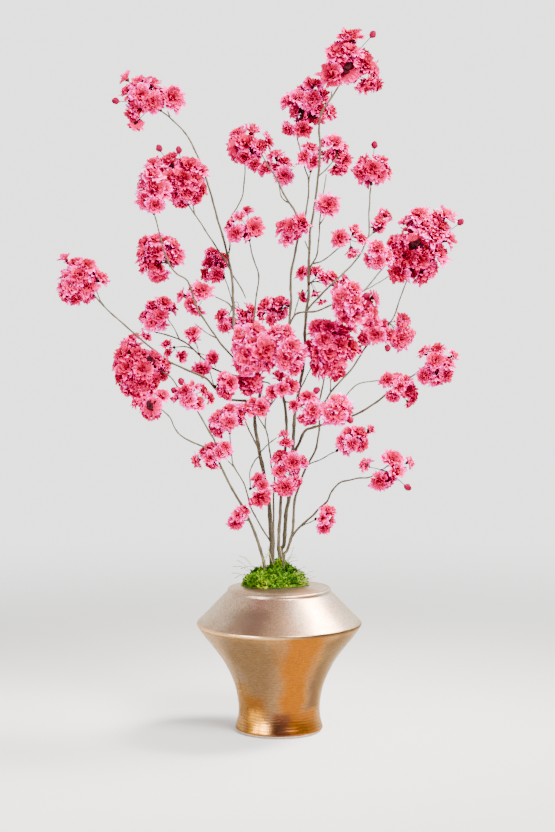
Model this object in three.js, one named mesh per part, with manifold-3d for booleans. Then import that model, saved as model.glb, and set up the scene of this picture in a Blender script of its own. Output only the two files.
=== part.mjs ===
// Cherry blossom branches in a glazed vase, with moss round the stems.
// Millimetres, +Z up. The origin is the middle of the vase's foot, on the surface it stands on.
import * as THREE from "three";
import { mergeVertices } from "three/addons/utils/BufferGeometryUtils.js";
import Module from "manifold-3d";

const wasm = await Module();
wasm.setup();

// ---- Driving dimensions ----

// Places are written as [across, up, away]: across and up are read on the upright plane through the
// vase's axis, as an eye in front of the vase sees them, and away is the depth behind that plane.
const EYE_DISTANCE = 3750;
const EYE_HEIGHT = 879;

const CLEARANCE = 0.4; // gap left between neighbouring solids
const TWIG_SIDES = 5;

const VASE_SEGMENTS = 28;
const FOOT_RADIUS = 74.5;
const FOOT_EDGE = { radius: 80, height: 4.5 };
const WAIST = { radius: 74, height: 41 };
const BELLY = { radius: 150, height: 197 };
const COLLAR = { radius: 92, height: 258.5 };
const TOP_RADIUS = 84;
const TOP_HEIGHT = 263.5;
const MOUTH_RADIUS = 40;
const MOUTH_HEIGHT = 269; // the top rises from the collar to the mouth
const FLOOR_HEIGHT = 10; // inside of the vase's floor
const NECK_HEIGHT = 262; // underside of the shoulder at the mouth
const FOAM_GAP = 0.6; // between the foam and the inside of the vase

const MOSS_CENTRE = { x: -8, y: -1 };
const MOSS_RADIUS = 59;
const MOSS_DEPTH = 44; // half of its depth, front to back
const MOSS_TOP = 305;
const MOSS_SEGMENTS = 18;

const BLOSSOM_SIDES = 5;
const TUFT_SPACING = 46; // blossoms of one spray nearer than this crowd into one tuft
const SPUR_RADIUS = 3;
const STALK_RADIUS = 1.2;
const BUD_RADIUS = 6;

const COLOURS = {
  glaze: { color: 0xc08a62, roughness: 0.3, metalness: 0.85 },
  foam: { color: 0x4f6b3c, roughness: 1, metalness: 0 },
  moss: { color: 0x6c9a1e, roughness: 1, metalness: 0 },
  bark: { color: 0x6e5a44, roughness: 0.85, metalness: 0 },
  petals: { color: 0xe2557f, roughness: 0.7, metalness: 0 },
};

// The outside of the vase between its foot edge and its collar, as [radius, height].
const FLARE = [
  [76.2, 20],
  [WAIST.radius, WAIST.height],
  [77.5, 70],
  [84, 93],
  [93.3, 114],
  [102, 130],
  [113, 146],
  [128.5, 166],
  [143.2, 185],
  [BELLY.radius, BELLY.height],
  [145, 208],
  [126, 228],
  [108, 244],
];

// The inside of the vase, from its floor to the underside of its mouth.
const HOLLOW = [
  [67, FLOOR_HEIGHT],
  [68.5, 44],
  [71.5, 71],
  [78, 95],
  [95, 130],
  [106.5, 147],
  [121.5, 166],
  [136.8, 184],
  [143, 195],
  [138.6, 204],
  [121, 225],
  [103, 239],
  [MOUTH_RADIUS, NECK_HEIGHT],
];

// ---- Stems ----

// Each stem is one grown piece: a list of shoots, each with its thickness (radius at its two ends)
// and its route. A side shoot starts inside the shoot that carries it.
const STEMS = {
  stem_low_left: [
    { from: 3.2, to: 1.8, route: [[-14, 200, -6], [-26, 300, -14], [-39, 345, -24], [-53, 384, -36],
      [-71, 417, -48], [-89, 449, -62], [-104, 480, -76], [-113, 501, -85]] },
    { from: 1.7, to: 1.1, route: [[-113, 499, -84], [-116, 527, -88], [-125, 545, -90], [-147, 582, -92],
      [-161, 604, -90], [-178, 620, -85], [-194, 642, -75], [-221, 662, -65]] },
    { from: 1.6, to: 1.0, route: [[-112, 499, -84], [-136, 518, -95], [-161, 528, -105], [-179, 541, -112],
      [-190, 555, -116], [-197, 571, -120], [-210, 584, -124], [-224, 595, -128]] },
    { from: 1.2, to: 1.0, route: [[-53, 384, -36], [-62, 385, -43], [-71, 384, -50]] },
    { from: 1.2, to: 0.9, route: [[-104, 478, -75], [-112, 484, -78]] },
  ],
  stem_left: [
    { from: 4.3, to: 2.7, route: [[-8, 195, 6], [-14, 312, 4], [-14, 346, 4], [-16, 384, 4], [-19, 415, 5],
      [-26, 456, 6], [-35, 507, 8], [-41, 537, 9], [-44, 573, 10], [-36, 606, 11], [-32, 636, 12]] },
    { from: 2.7, to: 1.2, route: [[-32, 634, 12], [-46, 665, 14], [-64, 699, 16], [-80, 730, 20],
      [-82, 780, 30], [-86, 833, 42], [-91, 856, 48], [-98, 888, 55], [-109, 924, 62], [-124, 978, 70],
      [-142, 1032, 78], [-165, 1076, 85], [-194, 1106, 88], [-210, 1119, 90]] },
    { from: 1.1, to: 0.9, route: [[-194, 1106, 88], [-199, 1120, 86]] },
    { from: 1.5, to: 1.1, route: [[-87, 836, 42], [-98, 856, 34], [-111, 874, 26], [-125, 896, 20],
      [-143, 924, 15], [-165, 957, 12]] },
    { from: 1.1, to: 0.9, route: [[-151, 936, 14], [-156, 962, 18]] },
    { from: 1.5, to: 1.1, route: [[-92, 862, 49], [-88, 879, 62], [-88, 924, 85], [-75, 948, 95],
      [-66, 969, 103], [-62, 996, 112], [-61, 1023, 118]] },
    { from: 1.3, to: 1.0, route: [[-82, 764, 27], [-90, 776, 25], [-104, 784, 20], [-127, 793, 15]] },
    { from: 1.1, to: 0.9, route: [[-82, 770, 28], [-89, 798, 45], [-98, 822, 62]] },
    { from: 1.3, to: 1.0, route: [[-86, 831, 42], [-71, 809, 41], [-60, 786, 42]] },
    { from: 1.5, to: 1.1, route: [[-46, 664, 14], [-47, 700, 24], [-45, 740, 24], [-43, 775, 22],
      [-39, 802, 18], [-37, 829, 12], [-43, 849, 6], [-50, 870, 0], [-53, 888, -5]] },
    { from: 1.9, to: 1.1, route: [[-50, 673, 15], [-65, 673, 6], [-79, 678, -4], [-104, 703, -22],
      [-116, 721, -31], [-133, 744, -42], [-150, 775, -53], [-163, 815, -65], [-182, 829, -72],
      [-194, 842, -76], [-201, 858, -79], [-208, 876, -84], [-215, 903, -92], [-223, 935, -105]] },
    { from: 1.1, to: 0.9, route: [[-163, 814, -65], [-157, 800, -62], [-154, 787, -58]] },
    { from: 1.1, to: 0.8, route: [[-112, 714, -28], [-134, 726, -20], [-152, 741, -12]] },
    { from: 1.9, to: 1.1, route: [[-32, 638, 12], [-59, 643, 18], [-98, 651, 22], [-124, 663, 26],
      [-131, 672, 28], [-154, 694, 34], [-179, 712, 42], [-215, 723, 50], [-248, 732, 55]] },
    { from: 1.1, to: 0.9, route: [[-154, 694, 34], [-170, 699, 45], [-188, 698, 56]] },
    { from: 1.1, to: 0.9, route: [[-179, 712, 42], [-190, 734, 46], [-203, 753, 48]] },
    { from: 2.2, to: 1.2, route: [[-38, 600, 10], [-62, 601, 0], [-93, 606, -15], [-116, 625, -28],
      [-133, 643, -36], [-158, 654, -45], [-197, 672, -58], [-228, 696, -68], [-264, 726, -78],
      [-302, 759, -86], [-332, 791, -92]] },
    { from: 1.1, to: 0.9, route: [[-314, 771, -88], [-322, 784, -86], [-329, 803, -82]] },
    { from: 1.1, to: 0.9, route: [[-215, 686, -63], [-242, 694, -58]] },
    { from: 1.1, to: 0.9, route: [[-117, 626, -28], [-125, 656, -24]] },
    { from: 1.5, to: 1.0, route: [[-15, 345, 4], [-35, 377, -14], [-52, 411, -30], [-62, 447, -45],
      [-82, 483, -60], [-86, 501, -66], [-89, 541, -78]] },
    { from: 1.0, to: 0.9, route: [[-82, 482, -60], [-93, 493, -70]] },
    { from: 1.3, to: 1.0, route: [[-34, 503, 8], [-44, 492, -10], [-53, 472, -26], [-52, 444, -42]] },
    { from: 1.6, to: 1.1, route: [[-38, 517, 8], [-50, 539, -20], [-59, 559, -40], [-64, 572, -54]] },
    { from: 1.2, to: 1.0, route: [[-35, 507, 8], [-21, 522, -28], [-4, 535, -36]] },
    { from: 1.4, to: 1.1, route: [[-32, 636, 12], [-20, 634, 0], [-14, 629, -14]] },
  ],
  stem_centre_thin: [
    { from: 2.1, to: 1.1, route: [[-12, 205, -14], [-10, 312, -12], [-10, 384, -10], [-10, 429, -8],
      [-8, 460, -5], [-14, 483, -5], [-17, 510, -10], [-21, 537, -20], [-25, 555, -28], [-23, 579, -36],
      [-15, 594, -42], [-6, 606, -46]] },
    { from: 1.2, to: 1.0, route: [[-25, 552, -27], [-35, 568, -38], [-41, 577, -44]] },
  ],
  stem_centre: [
    { from: 3.0, to: 2.0, route: [[6, 200, -2], [1, 312, -2], [-1, 339, -3], [1, 384, -5], [4, 426, -8],
      [8, 475, -10], [13, 543, -14], [13, 564, -15], [11, 591, -18], [4, 625, -20], [5, 660, -14],
      [13, 705, -4], [19, 753, 2], [22, 780, 2], [20, 807, 2], [22, 834, 0], [26, 856, -4],
      [31, 879, -10], [36, 903, -18]] },
    { from: 1.3, to: 1.0, route: [[10, 600, -18], [20, 598, -27], [29, 591, -36]] },
    { from: 1.9, to: 1.1, route: [[36, 901, -17], [33, 925, -18], [28, 942, -15], [19, 955, -10],
      [10, 969, 2], [-8, 1005, 22], [-21, 1023, 40], [-32, 1044, 62]] },
    { from: 1.2, to: 1.0, route: [[19, 955, -10], [8, 962, 12], [2, 973, 40], [-1, 994, 62]] },
    { from: 1.7, to: 1.1, route: [[35, 900, -17], [43, 918, -12], [47, 936, -2], [51, 960, 14],
      [53, 996, 36], [47, 1014, 44], [40, 1041, 54], [33, 1068, 60], [31, 1086, 64]] },
    { from: 1.0, to: 0.9, route: [[53, 994, 35], [56, 1011, 36]] },
    { from: 1.7, to: 1.1, route: [[16, 735, 0], [28, 755, -10], [42, 761, -18], [72, 764, -36],
      [100, 777, -50], [130, 790, -48], [152, 800, -36], [173, 825, -14], [188, 842, 2]] },
    { from: 1.1, to: 0.9, route: [[152, 800, -36], [168, 808, 0], [186, 818, 40], [196, 826, 62]] },
    { from: 1.2, to: 0.9, route: [[26, 752, -8], [34, 780, 8], [42, 802, 26]] },
  ],
  stem_tall: [
    { from: 3.7, to: 1.4, route: [[10, 198, 12], [3, 321, 15], [8, 339, 15], [11, 375, 16], [13, 402, 18],
      [17, 426, 20], [24, 505, 25], [26, 546, 27], [29, 582, 30], [37, 627, 32], [44, 672, 31],
      [46, 699, 30], [47, 730, 27], [49, 762, 22], [53, 798, 16], [53, 834, 12], [55, 897, 9],
      [58, 921, 8], [67, 978, 6], [73, 1050, 5], [71, 1086, 5], [73, 1108, 6], [78, 1122, 8],
      [91, 1140, 11], [114, 1176, 16]] },
    { from: 1.1, to: 0.9, route: [[92, 1141, 11], [94, 1156, 9]] },
    { from: 1.1, to: 0.9, route: [[69, 1003, 5], [82, 1014, 1], [94, 1027, -2], [103, 1038, 4]] },
    { from: 1.2, to: 0.9, route: [[55, 867, 10], [51, 877, 3], [46, 889, -4]] },
    { from: 1.8, to: 1.2, route: [[50, 765, 21], [67, 784, 14], [94, 811, 10], [127, 842, 30],
      [145, 865, 45], [155, 888, 60], [161, 906, 70], [161, 942, 85], [164, 987, 100]] },
    { from: 1.1, to: 0.9, route: [[157, 893, 62], [168, 903, 76]] },
    { from: 1.4, to: 1.0, route: [[54, 840, 12], [60, 849, 2], [68, 864, -14], [71, 897, -42],
      [74, 944, -84], [78, 973, -72], [82, 990, -50], [84, 1007, -26]] },
    { from: 1.0, to: 0.9, route: [[72, 917, -60], [82, 932, -78]] },
    { from: 1.3, to: 1.0, route: [[60, 848, 3], [76, 852, -20], [91, 863, -44], [109, 878, -68],
      [126, 891, -88]] },
    { from: 1.3, to: 1.0, route: [[35, 615, 31], [44, 634, 20], [54, 655, 8], [60, 668, 0]] },
    { from: 2.6, to: 1.2, route: [[24, 501, 25], [33, 519, 10], [46, 546, -8], [58, 552, -18],
      [73, 557, -29], [92, 562, -40], [127, 573, -60], [145, 580, -68], [172, 597, -78], [206, 624, -88],
      [235, 643, -95], [267, 667, -105], [283, 676, -110]] },
    { from: 1.3, to: 0.9, route: [[92, 562, -40], [105, 586, -68], [118, 607, -75], [130, 622, -77],
      [145, 633, -78], [177, 638, -80], [188, 640, -80]] },
  ],
  stem_right: [
    { from: 2.9, to: 1.3, route: [[16, 202, -8], [8, 309, -10], [15, 330, -10], [20, 348, -10],
      [25, 372, -9], [26, 393, -8], [28, 420, -6], [33, 438, -4], [46, 474, 0], [55, 492, 2],
      [64, 510, 4], [69, 528, 6], [73, 555, 8], [71, 591, 8], [75, 612, 6], [80, 632, 0],
      [83, 651, -8]] },
    { from: 1.8, to: 1.2, route: [[71, 589, 8], [82, 600, 12], [92, 616, 15], [109, 636, 20],
      [127, 654, 28], [145, 681, 38], [159, 703, 46], [199, 742, 62], [217, 785, 75], [229, 818, 85]] },
    { from: 1.0, to: 0.9, route: [[92, 615, 15], [93, 636, 4], [88, 650, -10]] },
    { from: 1.2, to: 1.0, route: [[52, 486, 2], [62, 490, -16], [73, 494, -36], [91, 505, -74],
      [103, 510, -98]] },
    { from: 2.0, to: 1.2, route: [[20, 350, -10], [31, 366, -16], [55, 388, -36], [73, 406, -55],
      [87, 420, -72], [94, 435, -84], [101, 445, -92], [112, 454, -102], [127, 458, -112],
      [145, 462, -124], [163, 463, -135], [184, 474, -146]] },
    { from: 1.1, to: 0.9, route: [[40, 374, -22], [54, 380, -50], [65, 386, -76]] },
  ],
};

// ---- Blossoms ----

// Each spray: its spur on the twig, its open blossoms as [across, up, away from the spur, radius],
// and its buds as [across, up, away from the spur].
const SPRAYS = {
  blossoms_top: {
    spur: [114, 1178, 18],
    open: [[128, 1251, 0, 18], [116, 1236, 12, 16], [103, 1224, -10, 18], [127, 1226, -18, 16],
      [146, 1221, 6, 18], [112, 1206, 14, 17], [91, 1186, -8, 20], [122, 1196, -6, 17], [140, 1196, 10, 18],
      [156, 1206, -10, 17], [170, 1194, 8, 14], [156, 1163, -4, 17], [173, 1167, 10, 14],
      [98, 1206, 22, 16],
      [138, 1214, 26, 17]],
    buds: [[166, 1254, 0]],
  },
  blossoms_high_centre: {
    spur: [31, 1088, 66],
    open: [[20, 1137, 0, 17], [36, 1144, -14, 17], [46, 1157, 6, 16], [60, 1168, -4, 15],
      [58, 1139, -18, 18],
      [78, 1147, 0, 17], [92, 1117, 4, 15], [64, 1112, 8, 16], [16, 1086, 2, 14], [43, 1086, -14, 15],
      [46, 1106, 8, 16], [34, 1124, 20, 17], [62, 1146, 20, 17], [74, 1124, -8, 14]],
    buds: [],
  },
  blossoms_high_right: {
    spur: [103, 1040, 8],
    open: [[82, 1062, 28, 15], [99, 1065, 14, 15], [114, 1057, 26, 13], [88, 1041, 36, 15],
      [105, 1044, 20, 15], [117, 1032, 24, 15], [103, 1017, 26, 14], [114, 1014, 36, 12]],
    buds: [],
  },
  blossoms_high_inner: {
    spur: [56, 1012, 38],
    open: [[56, 1056, -8, 14], [44, 1037, -22, 15], [62, 1030, -14, 14], [66, 1046, 8, 14]],
    buds: [],
  },
  blossom_single: {
    spur: [75, 946, -86],
    open: [[88, 953, -20, 20]],
    buds: [],
  },
  blossoms_right_twig: {
    spur: [127, 892, -90],
    open: [[108, 894, -12, 16], [134, 907, -2, 15], [131, 870, 0, 15], [146, 894, 12, 13]],
    buds: [],
  },
  blossoms_upper_right: {
    spur: [164, 989, 102],
    open: [[150, 1029, 0, 16], [182, 1033, 4, 15], [146, 1010, -6, 16], [166, 1018, -16, 17],
      [179, 1007, -8, 17], [191, 1012, 8, 14], [156, 999, 14, 15], [176, 1002, 18, 15],
      [166, 1024, 20, 15]],
    buds: [[170, 1059, 0]],
  },
  blossoms_right_crown: {
    spur: [169, 904, 78],
    open: [[180, 921, 10, 19], [190, 936, 24, 14], [176, 912, 28, 13]],
    buds: [],
  },
  blossoms_inner_top: {
    spur: [-1, 996, 64],
    open: [[-8, 1041, 10, 16], [10, 1031, 18, 16], [-24, 1018, 4, 16], [-6, 1018, 24, 16],
      [8, 1005, -4, 16]],
    buds: [],
  },
  blossoms_crown_left: {
    spur: [-61, 1025, 119],
    open: [[-75, 1080, 0, 15], [-49, 1085, 6, 16], [-79, 1060, -6, 15], [-56, 1064, -14, 17],
      [-74, 1045, 8, 15], [-33, 1058, -10, 16], [-19, 1067, 2, 14], [-62, 1038, -12, 14],
      [-43, 1044, 6, 16],
      [-44, 1026, -10, 13], [-60, 1060, 18, 16]],
    buds: [],
  },
  blossoms_heart_left: {
    spur: [36, 905, -19],
    open: [[40, 921, -24, 18], [6, 914, -22, 16], [21, 913, -34, 15], [13, 893, -28, 16],
      [24, 902, -14, 14]],
    buds: [],
  },
  blossoms_far_left: {
    spur: [-211, 1120, 90],
    open: [[-268, 1154, 4, 15], [-250, 1166, -6, 16], [-230, 1168, 6, 17], [-246, 1148, -16, 17],
      [-225, 1136, -16, 17], [-249, 1128, -6, 18], [-216, 1152, 8, 16], [-264, 1114, 2, 15],
      [-255, 1095, -4, 12], [-274, 1178, 0, 12], [-190, 1144, -4, 19], [-238, 1142, 16, 18],
      [-258, 1136, 18, 16]],
    buds: [[-291, 1137, 0]],
  },
  blossoms_left_cloud: {
    spur: [-166, 959, 13],
    open: [[-196, 1031, 0, 17], [-210, 1017, 12, 15], [-179, 1020, 18, 17], [-161, 1024, -4, 17],
      [-143, 1017, 8, 16], [-192, 1000, -12, 17], [-172, 1002, -20, 18], [-151, 1000, -8, 17],
      [-140, 982, 4, 17], [-187, 978, -6, 17], [-167, 978, -16, 17], [-176, 957, 4, 13],
      [-149, 968, -6, 13],
      [-196, 985, 20, 17], [-168, 990, 26, 18], [-148, 990, 22, 16]],
    buds: [[-214, 1053, 4], [-179, 1050, -4]],
  },
  blossoms_left_pale: {
    spur: [-224, 937, -106],
    open: [[-224, 1026, 0, 16], [-226, 1006, -12, 15], [-240, 986, 4, 16], [-221, 984, -10, 17],
      [-207, 978, 8, 15], [-237, 960, -4, 17], [-222, 952, -14, 14], [-222, 968, 14, 16],
      [-236, 1004, 10, 14]],
    buds: [],
  },
  blossoms_left_globe: {
    spur: [-195, 844, -75],
    open: [[-240, 886, 24, 16], [-221, 892, 14, 15], [-201, 887, 34, 16], [-187, 879, 22, 14],
      [-243, 868, 12, 16], [-223, 869, 6, 17], [-187, 860, 18, 17], [-241, 848, 22, 16],
      [-221, 849, 10, 17],
      [-215, 827, 18, 16], [-206, 866, 32, 18], [-226, 852, 38, 18]],
    buds: [],
  },
  blossoms_left_end: {
    spur: [-333, 792, -92],
    open: [[-363, 848, 4, 15], [-345, 846, -4, 15], [-382, 829, 0, 15], [-358, 829, -12, 17],
      [-338, 833, 8, 14], [-321, 823, 0, 15], [-387, 808, 6, 15], [-372, 809, -8, 17], [-346, 809, -6, 17],
      [-367, 792, -2, 17], [-385, 788, 0, 12], [-349, 792, 6, 15], [-384, 858, 0, 12], [-362, 814, 16, 18]],
    buds: [],
  },
  blossoms_left_back: {
    spur: [-204, 755, 49],
    open: [[-244, 754, 4, 14], [-229, 742, -6, 15], [-226, 772, 4, 15], [-206, 779, -4, 15],
      [-193, 770, 10, 15], [-214, 756, -14, 15], [-216, 738, 8, 15], [-239, 718, 0, 11]],
    buds: [],
  },
  blossoms_left_fork: {
    spur: [-128, 794, 15],
    open: [[-139, 801, -10, 18], [-157, 797, 2, 15], [-175, 791, -8, 13], [-160, 775, -16, 14],
      [-148, 765, -24, 16]],
    buds: [],
  },
  blossoms_left_small: {
    spur: [-144, 686, 31],
    open: [[-156, 725, -8, 15], [-153, 712, 4, 12], [-140, 658, -24, 15], [-119, 679, -14, 13]],
    buds: [],
  },
  blossoms_left_trio: {
    spur: [-189, 698, 57],
    open: [[-203, 704, 4, 10], [-201, 688, 8, 10], [-176, 682, -6, 14]],
    buds: [],
  },
  blossoms_left_inner: {
    spur: [-99, 824, 64],
    open: [[-126, 849, 4, 16], [-119, 866, 14, 15], [-102, 860, 22, 15], [-133, 829, 12, 14],
      [-112, 828, 0, 14], [-108, 846, 26, 15]],
    buds: [],
  },
  blossoms_middle_left: {
    spur: [-53, 890, -6],
    open: [[-57, 943, 4, 12], [-71, 931, -6, 13], [-87, 918, 4, 14], [-79, 902, -8, 15], [-46, 911, -8, 17],
      [-61, 903, 12, 15], [-40, 922, 8, 13]],
    buds: [],
  },
  blossoms_centre_right: {
    spur: [53, 812, 13],
    open: [[40, 833, 16, 14], [62, 834, 26, 15], [80, 823, 18, 13], [96, 825, 26, 15], [101, 809, 32, 13],
      [118, 818, 34, 12], [42, 788, 22, 11], [64, 795, 24, 11], [76, 779, 26, 9]],
    buds: [],
  },
  blossoms_right_inner: {
    spur: [101, 777, -51],
    open: [[114, 785, -12, 17], [109, 770, -4, 15], [132, 803, -8, 14], [136, 781, -12, 16],
      [154, 771, -2, 17], [168, 759, 6, 15], [137, 757, -12, 17], [118, 753, 2, 15], [172, 788, 0, 12],
      [140, 768, 16, 17], [122, 778, 18, 16]],
    buds: [[157, 791, -6]],
  },
  blossoms_right_star: {
    spur: [189, 844, 3],
    open: [[177, 876, -6, 17], [191, 864, 6, 16], [163, 854, 4, 16], [178, 852, -10, 14],
      [176, 866, 16, 15]],
    buds: [],
  },
  blossoms_right_cloud: {
    spur: [229, 820, 86],
    open: [[232, 923, 4, 14], [251, 936, -4, 16], [262, 915, -12, 17], [241, 909, 8, 17], [283, 930, 4, 15],
      [299, 934, -4, 15], [290, 914, -10, 16], [301, 896, 6, 16], [275, 899, -16, 16], [217, 888, 0, 16],
      [209, 869, -8, 14], [245, 884, -10, 17], [226, 861, -14, 17], [263, 875, -4, 16], [285, 866, 4, 17],
      [251, 856, -10, 17], [271, 838, 0, 14], [259, 826, 4, 15], [212, 831, -14, 18], [238, 838, 12, 15],
      [254, 898, 20, 18], [278, 888, 20, 17], [238, 868, 20, 18], [262, 852, 20, 17]],
    buds: [[324, 922, 0]],
  },
  blossoms_right_pair: {
    spur: [197, 742, 62],
    open: [[152, 715, -36, 15], [174, 720, -46, 17], [166, 741, -34, 15], [186, 738, -28, 15],
      [197, 723, -16, 15], [219, 716, -10, 18], [226, 743, 4, 14], [236, 721, 2, 11], [180, 724, -18, 15]],
    buds: [[195, 697, -16]],
  },
  blossoms_right_end: {
    spur: [284, 677, -110],
    open: [[285, 696, -6, 14], [261, 690, 4, 13], [282, 676, -18, 15], [302, 670, 0, 16], [275, 659, 8, 14],
      [262, 646, -4, 16], [285, 641, 2, 17], [303, 648, -6, 15], [314, 684, 4, 11], [292, 662, 18, 16],
      [278, 648, 20, 15]],
    buds: [],
  },
  blossoms_right_low_spray: {
    spur: [207, 625, -88],
    open: [[195, 640, -6, 14], [210, 643, 8, 14], [226, 640, -4, 14], [218, 627, -14, 15],
      [233, 621, 2, 15],
      [205, 610, -6, 13], [242, 608, 4, 12], [234, 598, 2, 10]],
    buds: [],
  },
  blossoms_right_ruffle: {
    spur: [104, 511, -99],
    open: [[113, 527, -6, 15], [128, 542, 2, 15], [145, 544, -4, 16], [132, 524, -14, 15],
      [150, 522, 4, 14],
      [164, 550, 2, 11], [122, 516, 8, 13], [138, 532, 14, 15]],
    buds: [],
  },
  blossoms_low_right_end: {
    spur: [185, 475, -147],
    open: [[204, 497, -4, 18], [213, 474, -8, 18], [181, 455, -4, 16], [196, 459, 6, 15], [155, 487, 4, 15],
      [236, 490, 4, 12]],
    buds: [[232, 445, 0]],
  },
  blossoms_low_right: {
    spur: [66, 387, -77],
    open: [[88, 401, -4, 13], [79, 388, -12, 13], [94, 384, 2, 12], [82, 371, -4, 13]],
    buds: [],
  },
  blossoms_left_dark_cloud: {
    spur: [-222, 662, -65],
    open: [[-268, 699, 6, 16], [-281, 686, -4, 16], [-257, 683, -12, 17], [-234, 677, -2, 17],
      [-216, 675, 10, 15], [-288, 668, 8, 15], [-273, 661, -14, 18], [-246, 660, -20, 18],
      [-206, 667, 2, 13], [-286, 643, 0, 15], [-267, 640, -8, 17], [-248, 635, -16, 18],
      [-226, 637, -6, 17],
      [-211, 649, 6, 15], [-274, 622, 6, 16], [-255, 618, -4, 16], [-239, 621, 8, 15], [-262, 714, 2, 12],
      [-262, 670, 18, 18], [-240, 656, 20, 18], [-262, 642, 18, 18], [-236, 640, 22, 16]],
    buds: [],
  },
  blossoms_left_dark_pair: {
    spur: [-225, 596, -128],
    open: [[-229, 592, -14, 17], [-244, 597, 4, 14], [-239, 580, 0, 13], [-221, 580, 6, 14],
      [-211, 612, -4, 14], [-260, 598, 0, 10]],
    buds: [],
  },
  blossoms_left_chain: {
    spur: [-163, 606, -90],
    open: [[-155, 626, -8, 14], [-170, 619, -16, 14], [-186, 606, -6, 13], [-165, 603, -18, 14],
      [-148, 599, -8, 15], [-136, 621, 4, 12], [-124, 607, 2, 11]],
    buds: [[-188, 620, 4], [-176, 636, 0]],
  },
  blossoms_inner_left: {
    spur: [-116, 627, -29],
    open: [[-98, 642, -26, 15], [-88, 634, -38, 15], [-93, 618, -34, 15], [-103, 627, -18, 13]],
    buds: [],
  },
  blossoms_inner_pair: {
    spur: [-40, 651, 11],
    open: [[-67, 636, -34, 15], [-48, 640, -44, 16], [-41, 630, -26, 14], [-54, 623, -36, 14]],
    buds: [],
  },
  blossoms_lower_left: {
    spur: [-89, 543, -79],
    open: [[-89, 586, 2, 17], [-111, 571, -4, 17], [-91, 562, -14, 16], [-119, 555, 6, 15],
      [-108, 547, -4, 12],
      [-71, 577, 6, 14], [-61, 587, 16, 16], [-74, 563, 14, 13], [-98, 570, 18, 16]],
    buds: [],
  },
  blossoms_low_left_tip: {
    spur: [-113, 503, -85],
    open: [[-124, 517, -4, 15], [-98, 517, -8, 15], [-106, 509, -16, 13], [-136, 511, 4, 12],
      [-124, 498, -14, 15],
      [-122, 486, -2, 13], [-150, 492, 0, 13]],
    buds: [],
  },
  blossoms_heart_wide: {
    spur: [-64, 700, 10],
    open: [[-66, 717, -62, 18], [-42, 729, -54, 16], [-27, 694, -74, 19], [-59, 683, -66, 18],
      [-73, 699, -52, 16], [-64, 666, -56, 16], [-44, 708, -64, 16], [-42, 671, -62, 16],
      [-21, 669, -56, 14],
      [-46, 690, -40, 16], [-28, 712, -44, 15]],
    buds: [],
  },
  blossoms_heart_right: {
    spur: [13, 704, -8],
    open: [[5, 703, -40, 17], [22, 699, -50, 16], [12, 677, -54, 18], [33, 685, -42, 15],
      [-6, 726, -34, 15],
      [12, 725, -42, 14], [-4, 683, -36, 14], [28, 661, -40, 13]],
    buds: [],
  },
  blossoms_heart_back: {
    spur: [-82, 778, 32],
    open: [[-104, 753, 20, 15], [-85, 744, 12, 15], [-66, 757, 22, 15], [-50, 763, 30, 15],
      [-54, 741, 18, 15],
      [-98, 733, 8, 12], [-72, 742, 34, 15]],
    buds: [],
  },
  blossoms_heart_crest: {
    spur: [18, 772, 5],
    open: [[-33, 759, 30, 13], [-26, 775, 24, 15], [-13, 762, 36, 15], [3, 779, 26, 17], [6, 760, 40, 13],
      [-14, 748, 20, 12]],
    buds: [],
  },
  blossoms_crimson: {
    spur: [83, 653, -9],
    open: [[69, 735, 0, 16], [90, 733, -10, 16], [109, 726, -2, 17], [130, 733, 6, 14], [83, 712, -14, 17],
      [110, 703, -12, 17], [130, 699, 2, 15], [57, 698, 0, 13], [69, 687, -8, 17], [91, 690, -18, 16],
      [103, 676, -10, 17], [125, 685, -2, 14], [68, 661, -2, 15], [91, 663, -12, 15], [105, 650, -6, 15],
      [88, 704, 18, 18], [108, 712, 20, 17], [84, 678, 18, 16], [104, 690, 22, 16]],
    buds: [],
  },
  blossoms_neck: {
    spur: [3, 627, -22],
    open: [[0, 645, -24, 15], [20, 629, -28, 16], [6, 622, -38, 13], [-12, 617, -26, 13]],
    buds: [],
  },
  blossoms_collar_left: {
    spur: [-42, 579, -45],
    open: [[-44, 598, -12, 14], [-27, 595, -6, 13], [-34, 588, -18, 15]],
    buds: [],
  },
  blossoms_collar_right: {
    spur: [30, 591, -37],
    open: [[26, 594, -12, 12], [51, 610, -8, 14], [60, 604, 6, 13], [60, 584, -10, 16], [45, 571, -4, 13],
      [56, 564, 8, 12], [38, 600, 2, 11]],
    buds: [[67, 620, 0]],
  },
  blossoms_pale_globe: {
    spur: [106, 588, -70],
    open: [[109, 597, -20, 17], [98, 580, -28, 17], [114, 578, -18, 16], [84, 582, -12, 12]],
    buds: [[127, 567, -10]],
  },
  blossoms_stem_ruffle: {
    spur: [8, 470, -14],
    open: [[2, 501, -20, 17], [24, 490, -30, 17], [43, 492, -24, 12], [2, 474, -28, 13], [30, 476, -18, 13],
      [11, 445, -30, 18], [30, 452, -18, 14], [-4, 445, -20, 13], [8, 541, -18, 11], [12, 526, -26, 12]],
    buds: [],
  },
  blossoms_stem_left: {
    spur: [-52, 442, -43],
    open: [[-38, 460, -8, 14], [-29, 448, -16, 12], [-35, 425, -22, 19]],
    buds: [],
  },
  blossoms_stem_low: {
    spur: [-72, 384, -51],
    open: [[-64, 401, -8, 14], [-75, 394, -16, 12], [-79, 379, -6, 14]],
    buds: [],
  },
};

// ---- Geometry helpers ----

// The real place of a point that the eye sees at [across, up] on the plane of the axis, away behind it.
function place([across, up, away]) {
  const spread = 1 + away / EYE_DISTANCE;
  return new THREE.Vector3(across * spread, away, EYE_HEIGHT + (up - EYE_HEIGHT) * spread);
}

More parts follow.
